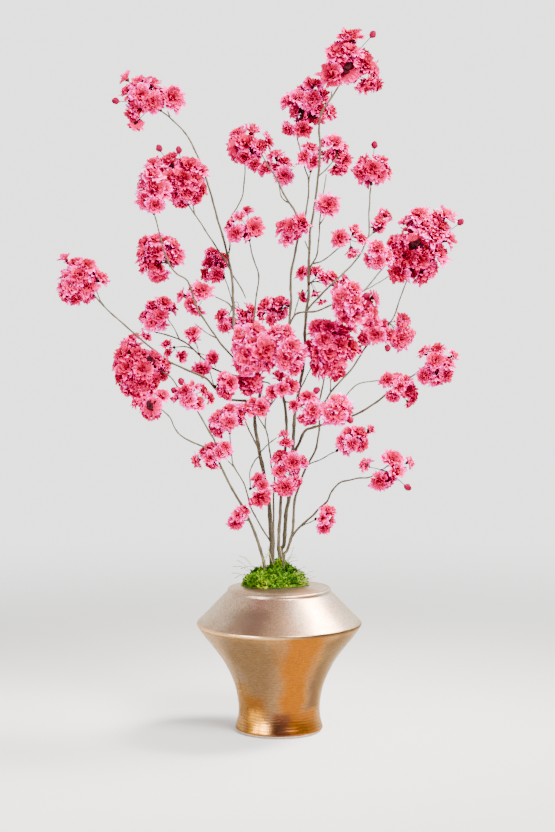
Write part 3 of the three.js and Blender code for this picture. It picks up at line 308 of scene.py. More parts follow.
# Each spray: the place of its spur, its open blossoms as (across, up, away from the spur, radius)
# with a look where it isn't middling, and its buds as (across, up, away from the spur).
SPRAYS = {
    "blossoms_top": (
        (114, 1178, 18),
        [(128, 1251, 0, 18, DEEP), (116, 1236, 12, 16, DEEP), (106, 1222, -10, 17, DEEP),
         (127, 1226, -18, 15, FAIR), (143, 1220, 6, 17, DEEP), (112, 1206, 14, 17, DEEP),
         (92, 1184, -8, 20, DEEP), (122, 1192, -6, 17, BACK), (140, 1193, 10, 18, DEEP),
         (154, 1204, -10, 17, DEEP), (170, 1190, 8, 13, FAIR), (154, 1166, -4, 16),
         (174, 1166, 10, 14, DEEP), (98, 1204, 22, 16, DEEP), (138, 1212, 26, 17, DEEP),
         (127, 1184, 8, 13, DEEP)],
        [(166, 1254, 0)],
    ),
    "blossoms_high_centre": (
        (31, 1088, 66),
        [(20, 1137, 0, 17, FAIR), (36, 1144, -14, 17, FAIR), (46, 1157, 6, 16), (60, 1168, -4, 15),
         (58, 1139, -18, 18, FACE), (78, 1147, 0, 17), (92, 1117, 4, 15, FAIR),
         (64, 1112, 8, 16, BACK), (16, 1086, 2, 14, FAIR), (43, 1086, -14, 15, DEEP),
         (46, 1106, 8, 16), (34, 1124, 20, 17), (62, 1146, 20, 17), (74, 1124, -8, 14)],
        [],
    ),
    "blossoms_high_right": (
        (103, 1040, 8),
        [(82, 1062, 28, 15), (99, 1065, 14, 15), (114, 1057, 26, 13), (88, 1041, 36, 15),
         (105, 1044, 20, 15, DEEP), (117, 1032, 24, 15), (103, 1017, 26, 14, DEEP),
         (114, 1014, 36, 12)],
        [],
    ),
    "blossoms_high_inner": (
        (56, 1012, 38),
        [(56, 1056, -8, 14, FAIR), (44, 1037, -22, 15, FAIR), (62, 1030, -14, 14), (66, 1046, 8, 14)],
        [],
    ),
    "blossom_single": (
        (75, 946, -86),
        [(88, 953, -20, 20, FACE)],
        [],
    ),
    "blossoms_right_twig": (
        (127, 892, -90),
        [(108, 894, -12, 16), (134, 907, -2, 15, SPIKY), (131, 870, 0, 15), (146, 894, 12, 13)],
        [],
    ),
    "blossoms_upper_right": (
        (164, 989, 102),
        [(150, 1029, 0, 16), (182, 1033, 4, 15), (146, 1010, -6, 16, FACE), (166, 1018, -16, 17, DEEP),
         (179, 1007, -8, 17, FACE), (191, 1012, 8, 14, DEEP), (156, 999, 14, 15, FAIR),
         (176, 1002, 18, 15), (166, 1024, 20, 15)],
        [(170, 1059, 0)],
    ),
    "blossoms_right_crown": (
        (169, 904, 78),
        [(180, 921, 10, 19), (190, 936, 24, 14), (176, 912, 28, 13, DEEP)],
        [],
    ),
    "blossoms_inner_top": (
        (-1, 996, 64),
        [(-8, 1041, 10, 16, FAIR), (10, 1031, 18, 16, FAIR), (-24, 1018, 4, 16), (-6, 1018, 24, 16),
         (8, 1005, -4, 16, FACE)],
        [],
    ),
    "blossoms_crown_left": (
        (-61, 1025, 119),
        [(-75, 1080, 0, 15, FAIR), (-49, 1085, 6, 16), (-79, 1060, -6, 15, BACK),
         (-56, 1064, -14, 17, DEEP), (-74, 1045, 8, 15), (-33, 1058, -10, 16), (-19, 1067, 2, 14),
         (-62, 1038, -12, 14), (-43, 1044, 6, 16), (-44, 1026, -10, 13, FACE), (-60, 1060, 18, 16)],
        [],
    ),
    "blossoms_heart_left": (
        (36, 905, -19),
        [(40, 921, -24, 18), (6, 914, -22, 16), (21, 913, -34, 15, DEEP), (13, 893, -28, 16),
         (24, 902, -14, 14)],
        [],
    ),
    "blossoms_far_left": (
        (-211, 1120, 90),
        [(-268, 1154, 4, 15), (-250, 1166, -6, 16, FAIR), (-230, 1168, 6, 17), (-246, 1148, -16, 17),
         (-225, 1136, -16, 17, FACE), (-249, 1128, -6, 18, DEEP), (-216, 1152, 8, 16),
         (-264, 1114, 2, 15, FAIR), (-255, 1095, -4, 12, BACK), (-274, 1178, 0, 12, SPIKY),
         (-190, 1144, -4, 19, FACE), (-238, 1142, 16, 18), (-258, 1136, 18, 16)],
        [(-291, 1137, 0)],
    ),
    "blossoms_left_cloud": (
        (-166, 959, 13),
        [(-196, 1031, 0, 17, DEEP), (-210, 1017, 12, 15, DEEP), (-179, 1020, 18, 17),
         (-161, 1024, -4, 17, DEEP), (-143, 1017, 8, 16), (-192, 1000, -12, 17, DEEP),
         (-172, 1002, -20, 18, DEEP), (-151, 1000, -8, 17, DEEP), (-140, 982, 4, 17),
         (-187, 978, -6, 17, DEEP), (-167, 978, -16, 17, FACE), (-176, 957, 4, 13, DEEP),
         (-149, 968, -6, 13, DEEP), (-196, 985, 20, 17), (-168, 990, 26, 18), (-148, 990, 22, 16)],
        [(-214, 1053, 4), (-179, 1050, -4)],
    ),
    "blossoms_left_pale": (
        (-224, 937, -106),
        [(-224, 1026, 0, 16, FAIR), (-226, 1006, -12, 15, FAIR), (-240, 986, 4, 16, FAIR),
         (-221, 984, -10, 17), (-207, 978, 8, 15), (-237, 960, -4, 17, FACE),
         (-222, 952, -14, 14, FAIR), (-222, 968, 14, 16), (-236, 1004, 10, 14, FAIR)],
        [],
    ),
    "blossoms_left_globe": (
        (-195, 844, -75),
        [(-240, 886, 24, 16, FAIR), (-221, 892, 14, 15, FAIR), (-201, 887, 34, 16),
         (-187, 879, 22, 14), (-243, 868, 12, 16), (-223, 869, 6, 17, DEEP), (-187, 860, 18, 17, FACE),
         (-241, 848, 22, 16), (-221, 849, 10, 17, DEEP), (-215, 827, 18, 16), (-206, 866, 32, 18),
         (-226, 852, 38, 18)],
        [],
    ),
    "blossoms_left_end": (
        (-333, 792, -92),
        [(-363, 848, 4, 15, FAIR), (-345, 846, -4, 15), (-382, 829, 0, 15), (-358, 829, -12, 17, FACE),
         (-338, 833, 8, 14), (-321, 823, 0, 15), (-387, 808, 6, 15, FAIR), (-372, 809, -8, 17, FAIR),
         (-346, 809, -6, 17), (-367, 792, -2, 17, DEEP), (-385, 788, 0, 12, FAIR), (-349, 792, 6, 15),
         (-384, 858, 0, 12, SPIKY), (-362, 814, 16, 18)],
        [],
    ),
    "blossoms_left_back": (
        (-204, 755, 49),
        [(-244, 754, 4, 14), (-229, 742, -6, 15, FAIR), (-226, 772, 4, 15), (-206, 779, -4, 15),
         (-193, 770, 10, 15), (-214, 756, -14, 15, DEEP), (-216, 738, 8, 15, FAIR), (-239, 718, 0, 11)],
        [],
    ),
    "blossoms_left_fork": (
        (-128, 794, 15),
        [(-139, 801, -10, 18), (-157, 797, 2, 15), (-175, 791, -8, 13, SPIKY), (-160, 775, -16, 14),
         (-148, 765, -24, 16)],
        [],
    ),
    "blossoms_left_small": (
        (-144, 686, 31),
        [(-156, 725, -8, 15), (-153, 712, 4, 12), (-140, 658, -24, 15), (-119, 679, -14, 13)],
        [],
    ),
    "blossoms_left_trio": (
        (-189, 698, 57),
        [(-203, 704, 4, 10), (-201, 688, 8, 10), (-176, 682, -6, 14)],
        [],
    ),
    "blossoms_left_inner": (
        (-99, 824, 64),
        [(-126, 849, 4, 16), (-119, 866, 14, 15, FAIR), (-102, 860, 22, 15), (-133, 829, 12, 14),
         (-112, 828, 0, 14, FACE), (-108, 846, 26, 15)],
        [],
    ),
    "blossoms_middle_left": (
        (-53, 890, -6),
        [(-57, 943, 4, 12), (-71, 931, -6, 13), (-87, 918, 4, 14), (-79, 902, -8, 15),
         (-46, 911, -8, 17, DEEP), (-61, 903, 12, 15), (-40, 922, 8, 13)],
        [],
    ),
    "blossoms_centre_right": (
        (53, 812, 13),
        [(40, 833, 16, 14), (62, 834, 26, 15), (80, 823, 18, 13), (96, 825, 26, 15),
         (101, 809, 32, 13), (118, 818, 34, 12), (42, 788, 22, 11), (64, 795, 24, 11),
         (76, 779, 26, 9)],
        [],
    ),
    "blossoms_right_inner": (
        (101, 777, -51),
        [(114, 785, -12, 17, FACE), (109, 770, -4, 15, DEEP), (132, 803, -8, 14, FAIR),
         (136, 781, -12, 16, FAIR), (154, 771, -2, 17, DEEP), (168, 759, 6, 15), (137, 757, -12, 17),
         (118, 753, 2, 15), (172, 788, 0, 12), (140, 768, 16, 17), (122, 778, 18, 16)],
        [(157, 791, -6)],
    ),
    "blossoms_right_star": (
        (189, 844, 3),
        [(177, 876, -6, 17, FAIR), (191, 864, 6, 16, FAIR), (163, 854, 4, 16),
         (178, 852, -10, 14, FACE), (176, 866, 16, 15)],
        [],
    ),
    "blossoms_right_cloud": (
        (229, 820, 86),
        [(232, 923, 4, 14), (251, 936, -4, 16, FAIR), (262, 915, -12, 17, FAIR), (241, 909, 8, 17),
         (283, 930, 4, 15, FAIR), (299, 934, -4, 15, FAIR), (290, 914, -10, 16, FAIR),
         (301, 896, 6, 16, FAIR), (275, 899, -16, 16, FAIR), (217, 888, 0, 16), (209, 869, -8, 14),
         (245, 884, -12, 17, BACK), (226, 861, -14, 17, DEEP), (263, 875, -4, 16, DEEP),
         (285, 866, 4, 17, FAIR), (251, 856, -10, 17, DEEP), (271, 838, 0, 14), (259, 826, 4, 15),
         (212, 831, -14, 18), (238, 838, 12, 15), (254, 898, 20, 18), (278, 888, 20, 17, FAIR),
         (238, 868, 20, 18), (262, 852, 20, 17), (203, 884, 2, 13)],
        [(324, 922, 0)],
    ),
    "blossoms_right_pair": (
        (197, 742, 62),
        [(152, 715, -36, 15, FAIR), (141, 697, -30, 13), (174, 720, -46, 17), (166, 741, -34, 15),
         (186, 738, -28, 15), (197, 723, -16, 15), (219, 712, -10, 19, FACE), (222, 732, -2, 16),
         (224, 747, 6, 13, BACK), (236, 719, 4, 14, FAIR), (180, 724, -18, 15)],
        [(195, 697, -16)],
    ),
    "blossoms_right_end": (
        (284, 677, -110),
        [(285, 696, -6, 14), (261, 690, 4, 13), (282, 676, -18, 15, DEEP), (302, 670, 0, 16, FAIR),
         (275, 659, 8, 14), (262, 646, -4, 16, FACE), (285, 641, 2, 17, FAIR), (303, 648, -6, 15),
         (314, 684, 4, 11, FAIR), (292, 662, 18, 16), (278, 648, 20, 15)],
        [],
    ),
    "blossoms_right_low_spray": (
        (207, 625, -88),
        [(195, 640, -6, 14), (210, 643, 8, 14), (226, 640, -4, 14, FAIR), (218, 627, -14, 15),
         (233, 621, 2, 15), (205, 610, -6, 13), (242, 608, 4, 12, DEEP), (234, 598, 2, 10, DEEP)],
        [],
    ),
    "blossoms_right_ruffle": (
        (104, 511, -99),
        [(113, 527, -6, 15), (128, 542, 2, 15), (145, 544, -4, 16), (132, 524, -14, 15, FAIR),
         (150, 522, 4, 14), (164, 550, 2, 11, SPIKY), (122, 516, 8, 13), (138, 532, 14, 15)],
        [],
    ),
    "blossoms_low_right_end": (
        (185, 475, -147),
        [(204, 497, -4, 18), (213, 474, -8, 18), (181, 455, -4, 16), (196, 459, 6, 15),
         (155, 487, 4, 15, FAIR), (236, 490, 4, 12, FAIR)],
        [(232, 445, 0)],
    ),
    "blossoms_low_right": (
        (66, 387, -77),
        [(88, 401, -4, 13), (79, 388, -12, 13), (94, 384, 2, 12), (82, 371, -4, 13)],
        [],
    ),
    "blossoms_left_dark_cloud": (
        (-222, 662, -65),
        [(-268, 699, 6, 16, BACK), (-281, 686, -4, 16, DEEP), (-257, 683, -12, 17, DEEP),
         (-234, 677, -2, 17, BACK), (-216, 675, 10, 15, DEEP), (-288, 668, 8, 15, FAIR),
         (-273, 661, -14, 18, DEEP), (-246, 660, -20, 18, DEEP), (-206, 667, 2, 13),
         (-286, 643, 0, 15), (-267, 640, -8, 17), (-248, 635, -16, 18, DEEP),
         (-226, 637, -6, 17, DEEP), (-211, 649, 6, 15), (-274, 622, 6, 16), (-255, 618, -4, 16, DEEP),
         (-239, 621, 8, 15), (-262, 714, 2, 12), (-262, 670, 18, 18), (-240, 656, 20, 18),
         (-262, 642, 18, 18), (-236, 640, 22, 16)],
        [],
    ),
    "blossoms_left_dark_pair": (
        (-225, 596, -128),
        [(-229, 592, -14, 17, BACK), (-244, 597, 4, 14), (-239, 580, 0, 13, DEEP),
         (-221, 580, 6, 14, DEEP), (-211, 612, -4, 14), (-260, 598, 0, 10)],
        [],
    ),
    "blossoms_left_chain": (
        (-163, 606, -90),
        [(-155, 626, -8, 14), (-170, 619, -16, 14), (-186, 606, -6, 13), (-165, 603, -18, 14, FAIR),
         (-148, 599, -8, 15), (-136, 621, 4, 12, DEEP), (-124, 607, 2, 11, DEEP)],
        [(-188, 620, 4), (-176, 636, 0)],
    ),
    "blossoms_inner_left": (
        (-116, 627, -29),
        [(-98, 642, -26, 15), (-88, 634, -38, 15), (-93, 618, -34, 15), (-103, 627, -18, 13)],
        [],
    ),
    "blossoms_inner_pair": (
        (-40, 651, 11),
        [(-67, 636, -34, 15), (-48, 640, -44, 16, DEEP), (-41, 630, -26, 14), (-54, 623, -36, 14)],
        [],
    ),
    "blossoms_lower_left": (
        (-89, 543, -79),
        [(-89, 586, 2, 17, FAIR), (-111, 571, -4, 17, FAIR), (-91, 562, -14, 16, FACE),
         (-119, 555, 6, 15, FAIR), (-108, 547, -4, 12), (-71, 577, 6, 14), (-61, 587, 16, 16),
         (-74, 563, 14, 13), (-98, 570, 18, 16)],
        [],
    ),
    "blossoms_low_left_tip": (
        (-113, 503, -85),
        [(-124, 517, -4, 15), (-98, 517, -8, 15), (-106, 509, -16, 13), (-136, 511, 4, 12),
         (-124, 498, -14, 15), (-122, 486, -2, 13), (-150, 492, 0, 13)],
        [],
    ),
    "blossoms_heart_wide": (
        (-64, 700, 10),
        [(-66, 717, -62, 18), (-42, 729, -54, 16, FAIR), (-24, 692, -74, 19, DEEP),
         (-59, 683, -66, 18, FACE), (-73, 699, -52, 16, FAIR), (-64, 666, -56, 16, FAIR),
         (-44, 708, -64, 16, FAIR), (-42, 671, -62, 16, FAIR), (-21, 669, -56, 14, FAIR),
         (-46, 690, -40, 16), (-28, 712, -44, 15)],
        [],
    ),
    "blossoms_heart_right": (
        (13, 704, -8),
        [(5, 703, -40, 17, FACE), (22, 699, -50, 16, FAIR), (12, 677, -54, 18, FACE),
         (33, 685, -42, 15, FAIR), (-6, 726, -34, 15, FAIR), (12, 725, -42, 14, FAIR),
         (-4, 683, -36, 14), (28, 661, -40, 13)],
        [],
    ),
    "blossoms_heart_back": (
        (-82, 778, 32),
        [(-104, 753, 20, 15), (-85, 744, 12, 15, FAIR), (-66, 757, 22, 15), (-50, 763, 30, 15),
         (-54, 741, 18, 15, FAIR), (-98, 733, 8, 12), (-72, 742, 34, 15)],
        [],
    ),
    "blossoms_heart_crest": (
        (18, 772, 5),
        [(-33, 759, 30, 13, DEEP), (-26, 775, 24, 15), (-13, 762, 36, 15), (3, 779, 26, 17),
         (6, 760, 40, 13), (-14, 748, 20, 12)],
        [],
    ),
    "blossoms_crimson": (
        (83, 653, -9),
        [(69, 735, 0, 16, FACE), (90, 733, -10, 16, DEEP), (109, 726, -2, 17, DEEP), (130, 733, 6, 14),
         (83, 712, -14, 17, FACE), (110, 703, -12, 17, DEEP), (130, 699, 2, 15, DEEP),
         (57, 698, 0, 13), (69, 687, -8, 17, FACE), (91, 690, -18, 16, DEEP), (103, 676, -10, 17),
         (125, 685, -2, 14), (68, 661, -2, 15), (91, 663, -12, 15, DEEP), (105, 650, -6, 15, DEEP),
         (88, 704, 18, 18), (108, 712, 20, 17), (84, 678, 18, 16), (104, 690, 22, 16)],
        [],
    ),
    "blossoms_neck": (
        (3, 627, -22),
        [(0, 645, -24, 15), (20, 629, -28, 16), (6, 622, -38, 13), (-12, 617, -26, 13)],
        [],
    ),
    "blossoms_collar_left": (
        (-42, 579, -45),
        [(-44, 598, -12, 14), (-27, 595, -6, 13), (-34, 588, -18, 15)],
        [],
    ),
    "blossoms_collar_right": (
        (30, 591, -37),
        [(26, 594, -12, 12), (51, 610, -8, 14), (60, 604, 6, 13), (60, 584, -10, 16),
         (45, 571, -4, 13), (56, 564, 8, 12), (38, 600, 2, 11)],
        [(67, 620, 0)],
    ),
    "blossoms_pale_globe": (
        (106, 588, -70),
        [(109, 597, -20, 17, FAIR), (98, 580, -28, 17, FACE), (114, 578, -18, 16, FAIR),
         (84, 582, -12, 12)],
        [(127, 567, -10)],
    ),
    "blossoms_stem_ruffle": (
        (8, 470, -14),
        [(2, 501, -20, 17), (24, 490, -30, 17, FACE), (43, 492, -24, 12, FAIR), (2, 474, -28, 13),
         (30, 476, -18, 13), (11, 445, -30, 18, FACE), (30, 452, -18, 14), (-4, 445, -20, 13),
         (8, 541, -18, 11), (12, 526, -26, 12)],
        [],
    ),
    "blossoms_stem_left": (
        (-52, 442, -43),
        [(-38, 460, -8, 14), (-29, 448, -16, 12), (-35, 425, -22, 19, DEEP)],
        [],
    ),
    "blossoms_stem_low": (
        (-72, 384, -51),
        [(-64, 401, -8, 14), (-75, 394, -16, 12), (-79, 379, -6, 14)],
        [],
    ),
}


def place(across, up, away):
    """The real place, in metres, of a point as the eye sees it."""
    spread = 1 + away / EYE_DISTANCE
    height = EYE_HEIGHT + (up - EYE_HEIGHT) * spread
    return Vector((across * spread, away, height)) * MM


# ---- Settings ----


def tint(name, description, default):
    """A colour that the user can change."""
    return bpy.props.FloatVectorProperty(
        name=name, description=description, subtype="COLOR", default=default
    )


def metres(name, description, default):
    """A length that the user can change."""
    return bpy.props.FloatProperty(
        name=name, description=description, subtype="DISTANCE", unit="LENGTH", default=default
    )


def ratio(name, description, default):
    """A plain number that the user can change."""
    return bpy.props.FloatProperty(name=name, description=description, default=default)


def site(name, description, default):
    """A place, in metres, that the user can change."""
    return bpy.props.FloatVectorProperty(
        name=name, description=description, subtype="TRANSLATION", unit="LENGTH", default=default
    )


def count_of(name, description, default, least):
    """A whole number that the user can change."""
    return bpy.props.IntProperty(name=name, description=description, default=default, min=least)


class VaseSettings(bpy.types.PropertyGroup):
    """The glazed vase."""

    silver: tint("Silver", "Warm silver lustre of the shoulder", (0.46, 0.34, 0.24))
    rose: tint("Rose", "Rosy lustre that drifts over the shoulder", (0.43, 0.225, 0.12))
    # Umber darkens the crackle, and as painted shade also the shoulder's left front and its pebble
    # specks.
    umber: tint("Umber", "Brown in the crackle and where the glaze is thin", (0.17, 0.11, 0.075))
    # Painted reflection: this pale lustre lights the shoulder's left and right edges as seen from the
    # front.
    edge_sheen: tint("Pearl", "Palest lustre, where the shoulder's glaze is thickest", (0.66, 0.6, 0.53))
    # Painted highlight: this cream lights the left of the lip under the shoulder's ridge.
    ridge_highlight: tint("Cream", "Warm worn lustre along the lip of the shoulder", (0.72, 0.44, 0.2))
    copper: tint("Copper", "Copper gold lustre of the flare", (0.33, 0.165, 0.055))
    bronze: tint("Bronze", "Greyer brown runs on the flare", (0.185, 0.115, 0.055))
    # One amber patch, right of the front, is partly painted reflection.
    amber: tint("Amber", "Orange runs where the glaze is thick", (0.25, 0.074, 0.0))
    # Gold is partly lustre and, above the foot's left, partly a painted highlight round the side lamp's
    # reflection.
    gold: tint("Gold", "Bright pools above the foot", (0.86, 0.36, 0.012))
    ember: tint("Ember", "Dark red brown in the throwing rings and near the foot", (0.09, 0.03, 0.013))
    ash: tint("Ash", "Greyer lustre high on the flare", (0.34, 0.24, 0.16))
    # Painted shade: this brown darkens the flare's right side and the right of the lip under the ridge.
    shade_brown: tint("Smoke", "Dark brown runs on the flare", (0.085, 0.052, 0.028))
    segments: count_of("Segments", "Steps of the spin round the axis", 128, 24)


class BranchSettings(bpy.types.PropertyGroup):
    """Stems and twigs."""

    bark: tint("Bark", "Middle tone of the dry bark", (0.068, 0.05, 0.025))
    node_spacing: metres("Node spacing", "Distance between the swellings of a stem", 0.034)
    stoutness: ratio("Stoutness", "How much thicker the bark is than the wood inside it", 1.1)
    roughening: metres("Roughening", "How far the bark stands out and in", 0.0007)


class BlossomSettings(bpy.types.PropertyGroup):
    """Petals, calyxes and stalks."""

    rim: tint("Rim", "Pink of the petals' rims, under their palest flecks", (1.0, 0.0, 0.46))
    blade: tint("Blade", "Pink of the petals", (0.82, 0.0, 0.17))
    throat: tint("Throat", "Crimson at the heart of a blossom", (0.44, 0.0, 0.046))
    ruffle: ratio("Ruffle", "Depth of the waves along a petal's rim, as a share of its width", 0.15)
    fullness: ratio("Fullness", "How far the blossoms swell into one another", 1.14)
    largest: metres("Largest blossom", "Radius that no blossom exceeds", 0.026)


class MossSettings(bpy.types.PropertyGroup):
    """The moss round the stems."""

    leaf: tint("Leaf", "Fresh green of the fronds", (0.05, 0.15, 0.001))
    fronds: count_of("Fronds", "How many fronds the mound carries", 3400, 100)
    half_width: metres("Half width", "Half of the mound's width", 0.0535)
    half_depth: metres("Half depth", "Half of the mound's depth, front to back", 0.0405)


class StageSettings(bpy.types.PropertyGroup):
    """Floor and camera."""

    floor: tint("Floor", "Pale floor", (0.52, 0.51, 0.5))
    eye: site("Eye", "Place of the camera", (0.0, -EYE_DISTANCE * MM, EYE_HEIGHT * MM))
    target: site("Target", "What the camera looks at", (-0.003, 0.0, 0.574))
    lens: bpy.props.FloatProperty(
        name="Lens", description="Focal length", subtype="DISTANCE_CAMERA", default=90.3
    )


SETTINGS = {
    "blossom_vase": VaseSettings,
    "blossom_branches": BranchSettings,
    "blossom_petals": BlossomSettings,
    "blossom_moss": MossSettings,
    "blossom_stage": StageSettings,
}

# ---- Working on meshes ----


def start_clean():
    """Object mode with nothing selected."""
    if bpy.context.object and bpy.context.object.mode != "OBJECT":
        bpy.ops.object.mode_set(mode="OBJECT")
    bpy.ops.object.select_all(action="DESELECT")


def activate(obj):
    start_clean()
    obj.select_set(True)
    bpy.context.view_layer.objects.active = obj


def vertices_of(mesh):
    """The mesh's vertices as rows of an array."""
    flat = np.empty(len(mesh.vertices) * 3, np.float32)
    mesh.vertices.foreach_get("co", flat)
    return flat.reshape(-1, 3)


def move_vertices(mesh, rows):
    mesh.vertices.foreach_set("co", np.asarray(rows, np.float32).ravel())
    mesh.update()


def mark_points(mesh, name, value):
    """Gives every point of the mesh one number under an attribute's name."""
    layer = mesh.attributes.get(name) or mesh.attributes.new(name, "FLOAT", "POINT")
    layer.data.foreach_set("value", np.full(len(mesh.vertices), value, np.float32))


def copy_of(model, matrix):
    """A copy of a model, with its own mesh, already in place."""
    made = model.copy()
    made.data = model.data.copy()
    made.data.transform(matrix)
    bpy.context.scene.collection.objects.link(made)
    return made


def joined(name, pieces):
    """The pieces as one object at the origin."""
    start_clean()
    for piece in pieces:
        piece.select_set(True)
    bpy.context.view_layer.objects.active = pieces[0]
    bpy.ops.object.join()
    made = bpy.context.object
    made.name = name
    made.data.name = name
    return made


def put_away(models):
    for model in models:
        bpy.data.objects.remove(model)


def finish_piece(obj, material, slot, *nodes):
    """Gives a finished piece its material, body and the CAD nodes it stands for. The slot is not used."""
    obj.data.materials.clear()
    obj.data.materials.append(material)
    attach(obj, "root")
    if nodes:
        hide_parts(*nodes)


def tube(name, points, radii, roundness=2):
    """A tube along points, with a radius at each, closed at its ends. Roundness 0 has four sides."""
    start_clean()
    bpy.ops.curve.primitive_nurbs_path_add(location=(0, 0, 0))
    path = bpy.context.object
    curve = path.data
    curve.splines.clear()
    spline = curve.splines.new("POLY")
    spline.points.add(len(points) - 1)
    for knot, point, radius in zip(spline.points, points, radii):
        knot.co = (*point, 1)
        knot.radius = radius
    curve.bevel_depth = 1
    curve.bevel_resolution = roundness
    curve.use_fill_caps = True
    curve.twist_mode = "MINIMUM"
    bpy.ops.object.convert(target="MESH")
    made = bpy.context.object
    made.name = name
    return made


def smooth_route(points, step):
    """Points at even steps along a smooth curve through the given ones."""
    padded = [points[0] * 2 - points[1], *points, points[-1] * 2 - points[-2]]
    dense = []
    for before, a, b, after in zip(padded, padded[1:], padded[2:], padded[3:]):
        cuts = max(2, round((b - a).length / step))
        for i in range(cuts):
            t = i / cuts
            square = t * t
            cube = square * t
            dense.append(
                0.5
                * (
                    2 * a
                    + (b - before) * t
                    + (2 * before - 5 * a + 4 * b - after) * square
                    + (3 * a - before - 3 * b + after) * cube
                )
            )
    return [*dense, points[-1]]


def turn_towards(direction, twist=0.0):
    """The turn that takes +Z to a direction, after a twist about +Z."""
    turn = Vector((0, 0, 1)).rotation_difference(direction)
    return (turn @ Quaternion((0, 0, 1), twist)).to_matrix().to_4x4()


# ---- Materials ----


class Surface:
    """A material under construction: its nodes and their links."""

    def __init__(self, name):
        self.material = bpy.data.materials.new(name)
        self.material.use_nodes = True
        self.nodes = self.material.node_tree.nodes
        self.links = self.material.node_tree.links
        self.shader = self.nodes["Principled BSDF"]

    def add(self, kind, **values):
        node = self.nodes.new(kind)
        for key, value in values.items():
            setattr(node, key, value)
        return node

    def link(self, output, socket):
        self.links.new(output, socket)

    def coordinates(self, scale=(1, 1, 1)):
        """Object coordinates, stretched."""
        source = self.add("ShaderNodeTexCoord")
        mapping = self.add("ShaderNodeMapping")
        mapping.inputs["Scale"].default_value = scale
        self.link(source.outputs["Object"], mapping.inputs["Vector"])
        return mapping.outputs["Vector"]

    def attribute(self, name):
        return self.add("ShaderNodeAttribute", attribute_name=name).outputs["Fac"]

    def noise(self, coordinates, scale, detail=3, roughness=0.55):
        node = self.add("ShaderNodeTexNoise")
        node.inputs["Scale"].default_value = scale
        node.inputs["Detail"].default_value = detail
        node.inputs["Roughness"].default_value = roughness
        self.link(coordinates, node.inputs["Vector"])
        return node.outputs["Fac"]

    def split(self, vector):
        """The X, Y and Z of a vector."""
        node = self.add("ShaderNodeSeparateXYZ")
        self.link(vector, node.inputs["Vector"])
        return node.outputs["X"], node.outputs["Y"], node.outputs["Z"]

    def math(self, operation, *values):
        node = self.add("ShaderNodeMath", operation=operation)
        for socket, value in zip(node.inputs, values):
            if isinstance(value, (int, float)):
                socket.default_value = value
            else:
                self.link(value, socket)
        return node.outputs["Value"]

    def times(self, first, second):
        return self.math("MULTIPLY", first, second)

    def less(self, first, second):
        return self.math("SUBTRACT", first, second)

    def total(self, first, *others):
        for other in others:
            first = self.math("ADD", first, other)
        return first

    def ramp(self, factor, stops):
        node = self.add("ShaderNodeValToRGB")
        band = node.color_ramp
        while len(band.elements) < len(stops):
            band.elements.new(1)
        for element, (position, colour) in zip(band.elements, stops):
            element.position = position
            element.color = (*colour[:3], 1)
        self.link(factor, node.inputs["Fac"])
        return node.outputs["Color"]

    def span(self, factor, low, high, to_low=0.0, to_high=1.0):
        """A smooth step from one value to another as the factor goes from low to high."""
        node = self.add("ShaderNodeMapRange", interpolation_type="SMOOTHSTEP")
        node.inputs["From Min"].default_value = low
        node.inputs["From Max"].default_value = high
        node.inputs["To Min"].default_value = to_low
        node.inputs["To Max"].default_value = to_high
        self.link(factor, node.inputs["Value"])
        return node.outputs["Result"]

    def mix(self, factor, first, second):
        """From the first colour to the second as the factor goes from 0 to 1."""
        node = self.add("ShaderNodeMix", data_type="RGBA")
        self.link(factor, node.inputs["Factor"])
        for socket, value in zip((node.inputs[6], node.inputs[7]), (first, second)):
            if isinstance(value, bpy.types.NodeSocket):
                self.link(value, socket)
            else:
                socket.default_value = (*value[:3], 1)
        return node.outputs[2]

    def bump(self, height, distance, strength=1.0):
        node = self.add("ShaderNodeBump")
        node.inputs["Strength"].default_value = strength
        node.inputs["Distance"].default_value = distance
        self.link(height, node.inputs["Height"])
        self.link(node.outputs["Normal"], self.shader.inputs["Normal"])

    def colour(self, output):
        self.link(output, self.shader.inputs["Base Color"])

    def set(self, **values):
        for key, value in values.items():
            self.shader.inputs[key.replace("_", " ")].default_value = value


def shade_of(colour, share):
    """A colour made darker or lighter."""
    return tuple(min(1.0, part * share) for part in colour[:3])


# How far each of these moves a petal's colour from the throat's crimson (0) to its palest fleck (1).
LEVEL_AT_FOOT = -0.24
LEVEL_AT_RIM = 0.56
FRILL_PALENESS = 0.5
HEART_DEPTH = 0.6  # for a blossom's innermost petals
VEIN_CONTRAST = 0.22
# The speckle is partly the petals' own flecks and partly a painted sheen of pale highlights.
SPECKLE_CONTRAST = 0.26
PETAL_CONTRAST = 0.3
BUD_CRIMSON = (0.13, 0.0, 0.022)


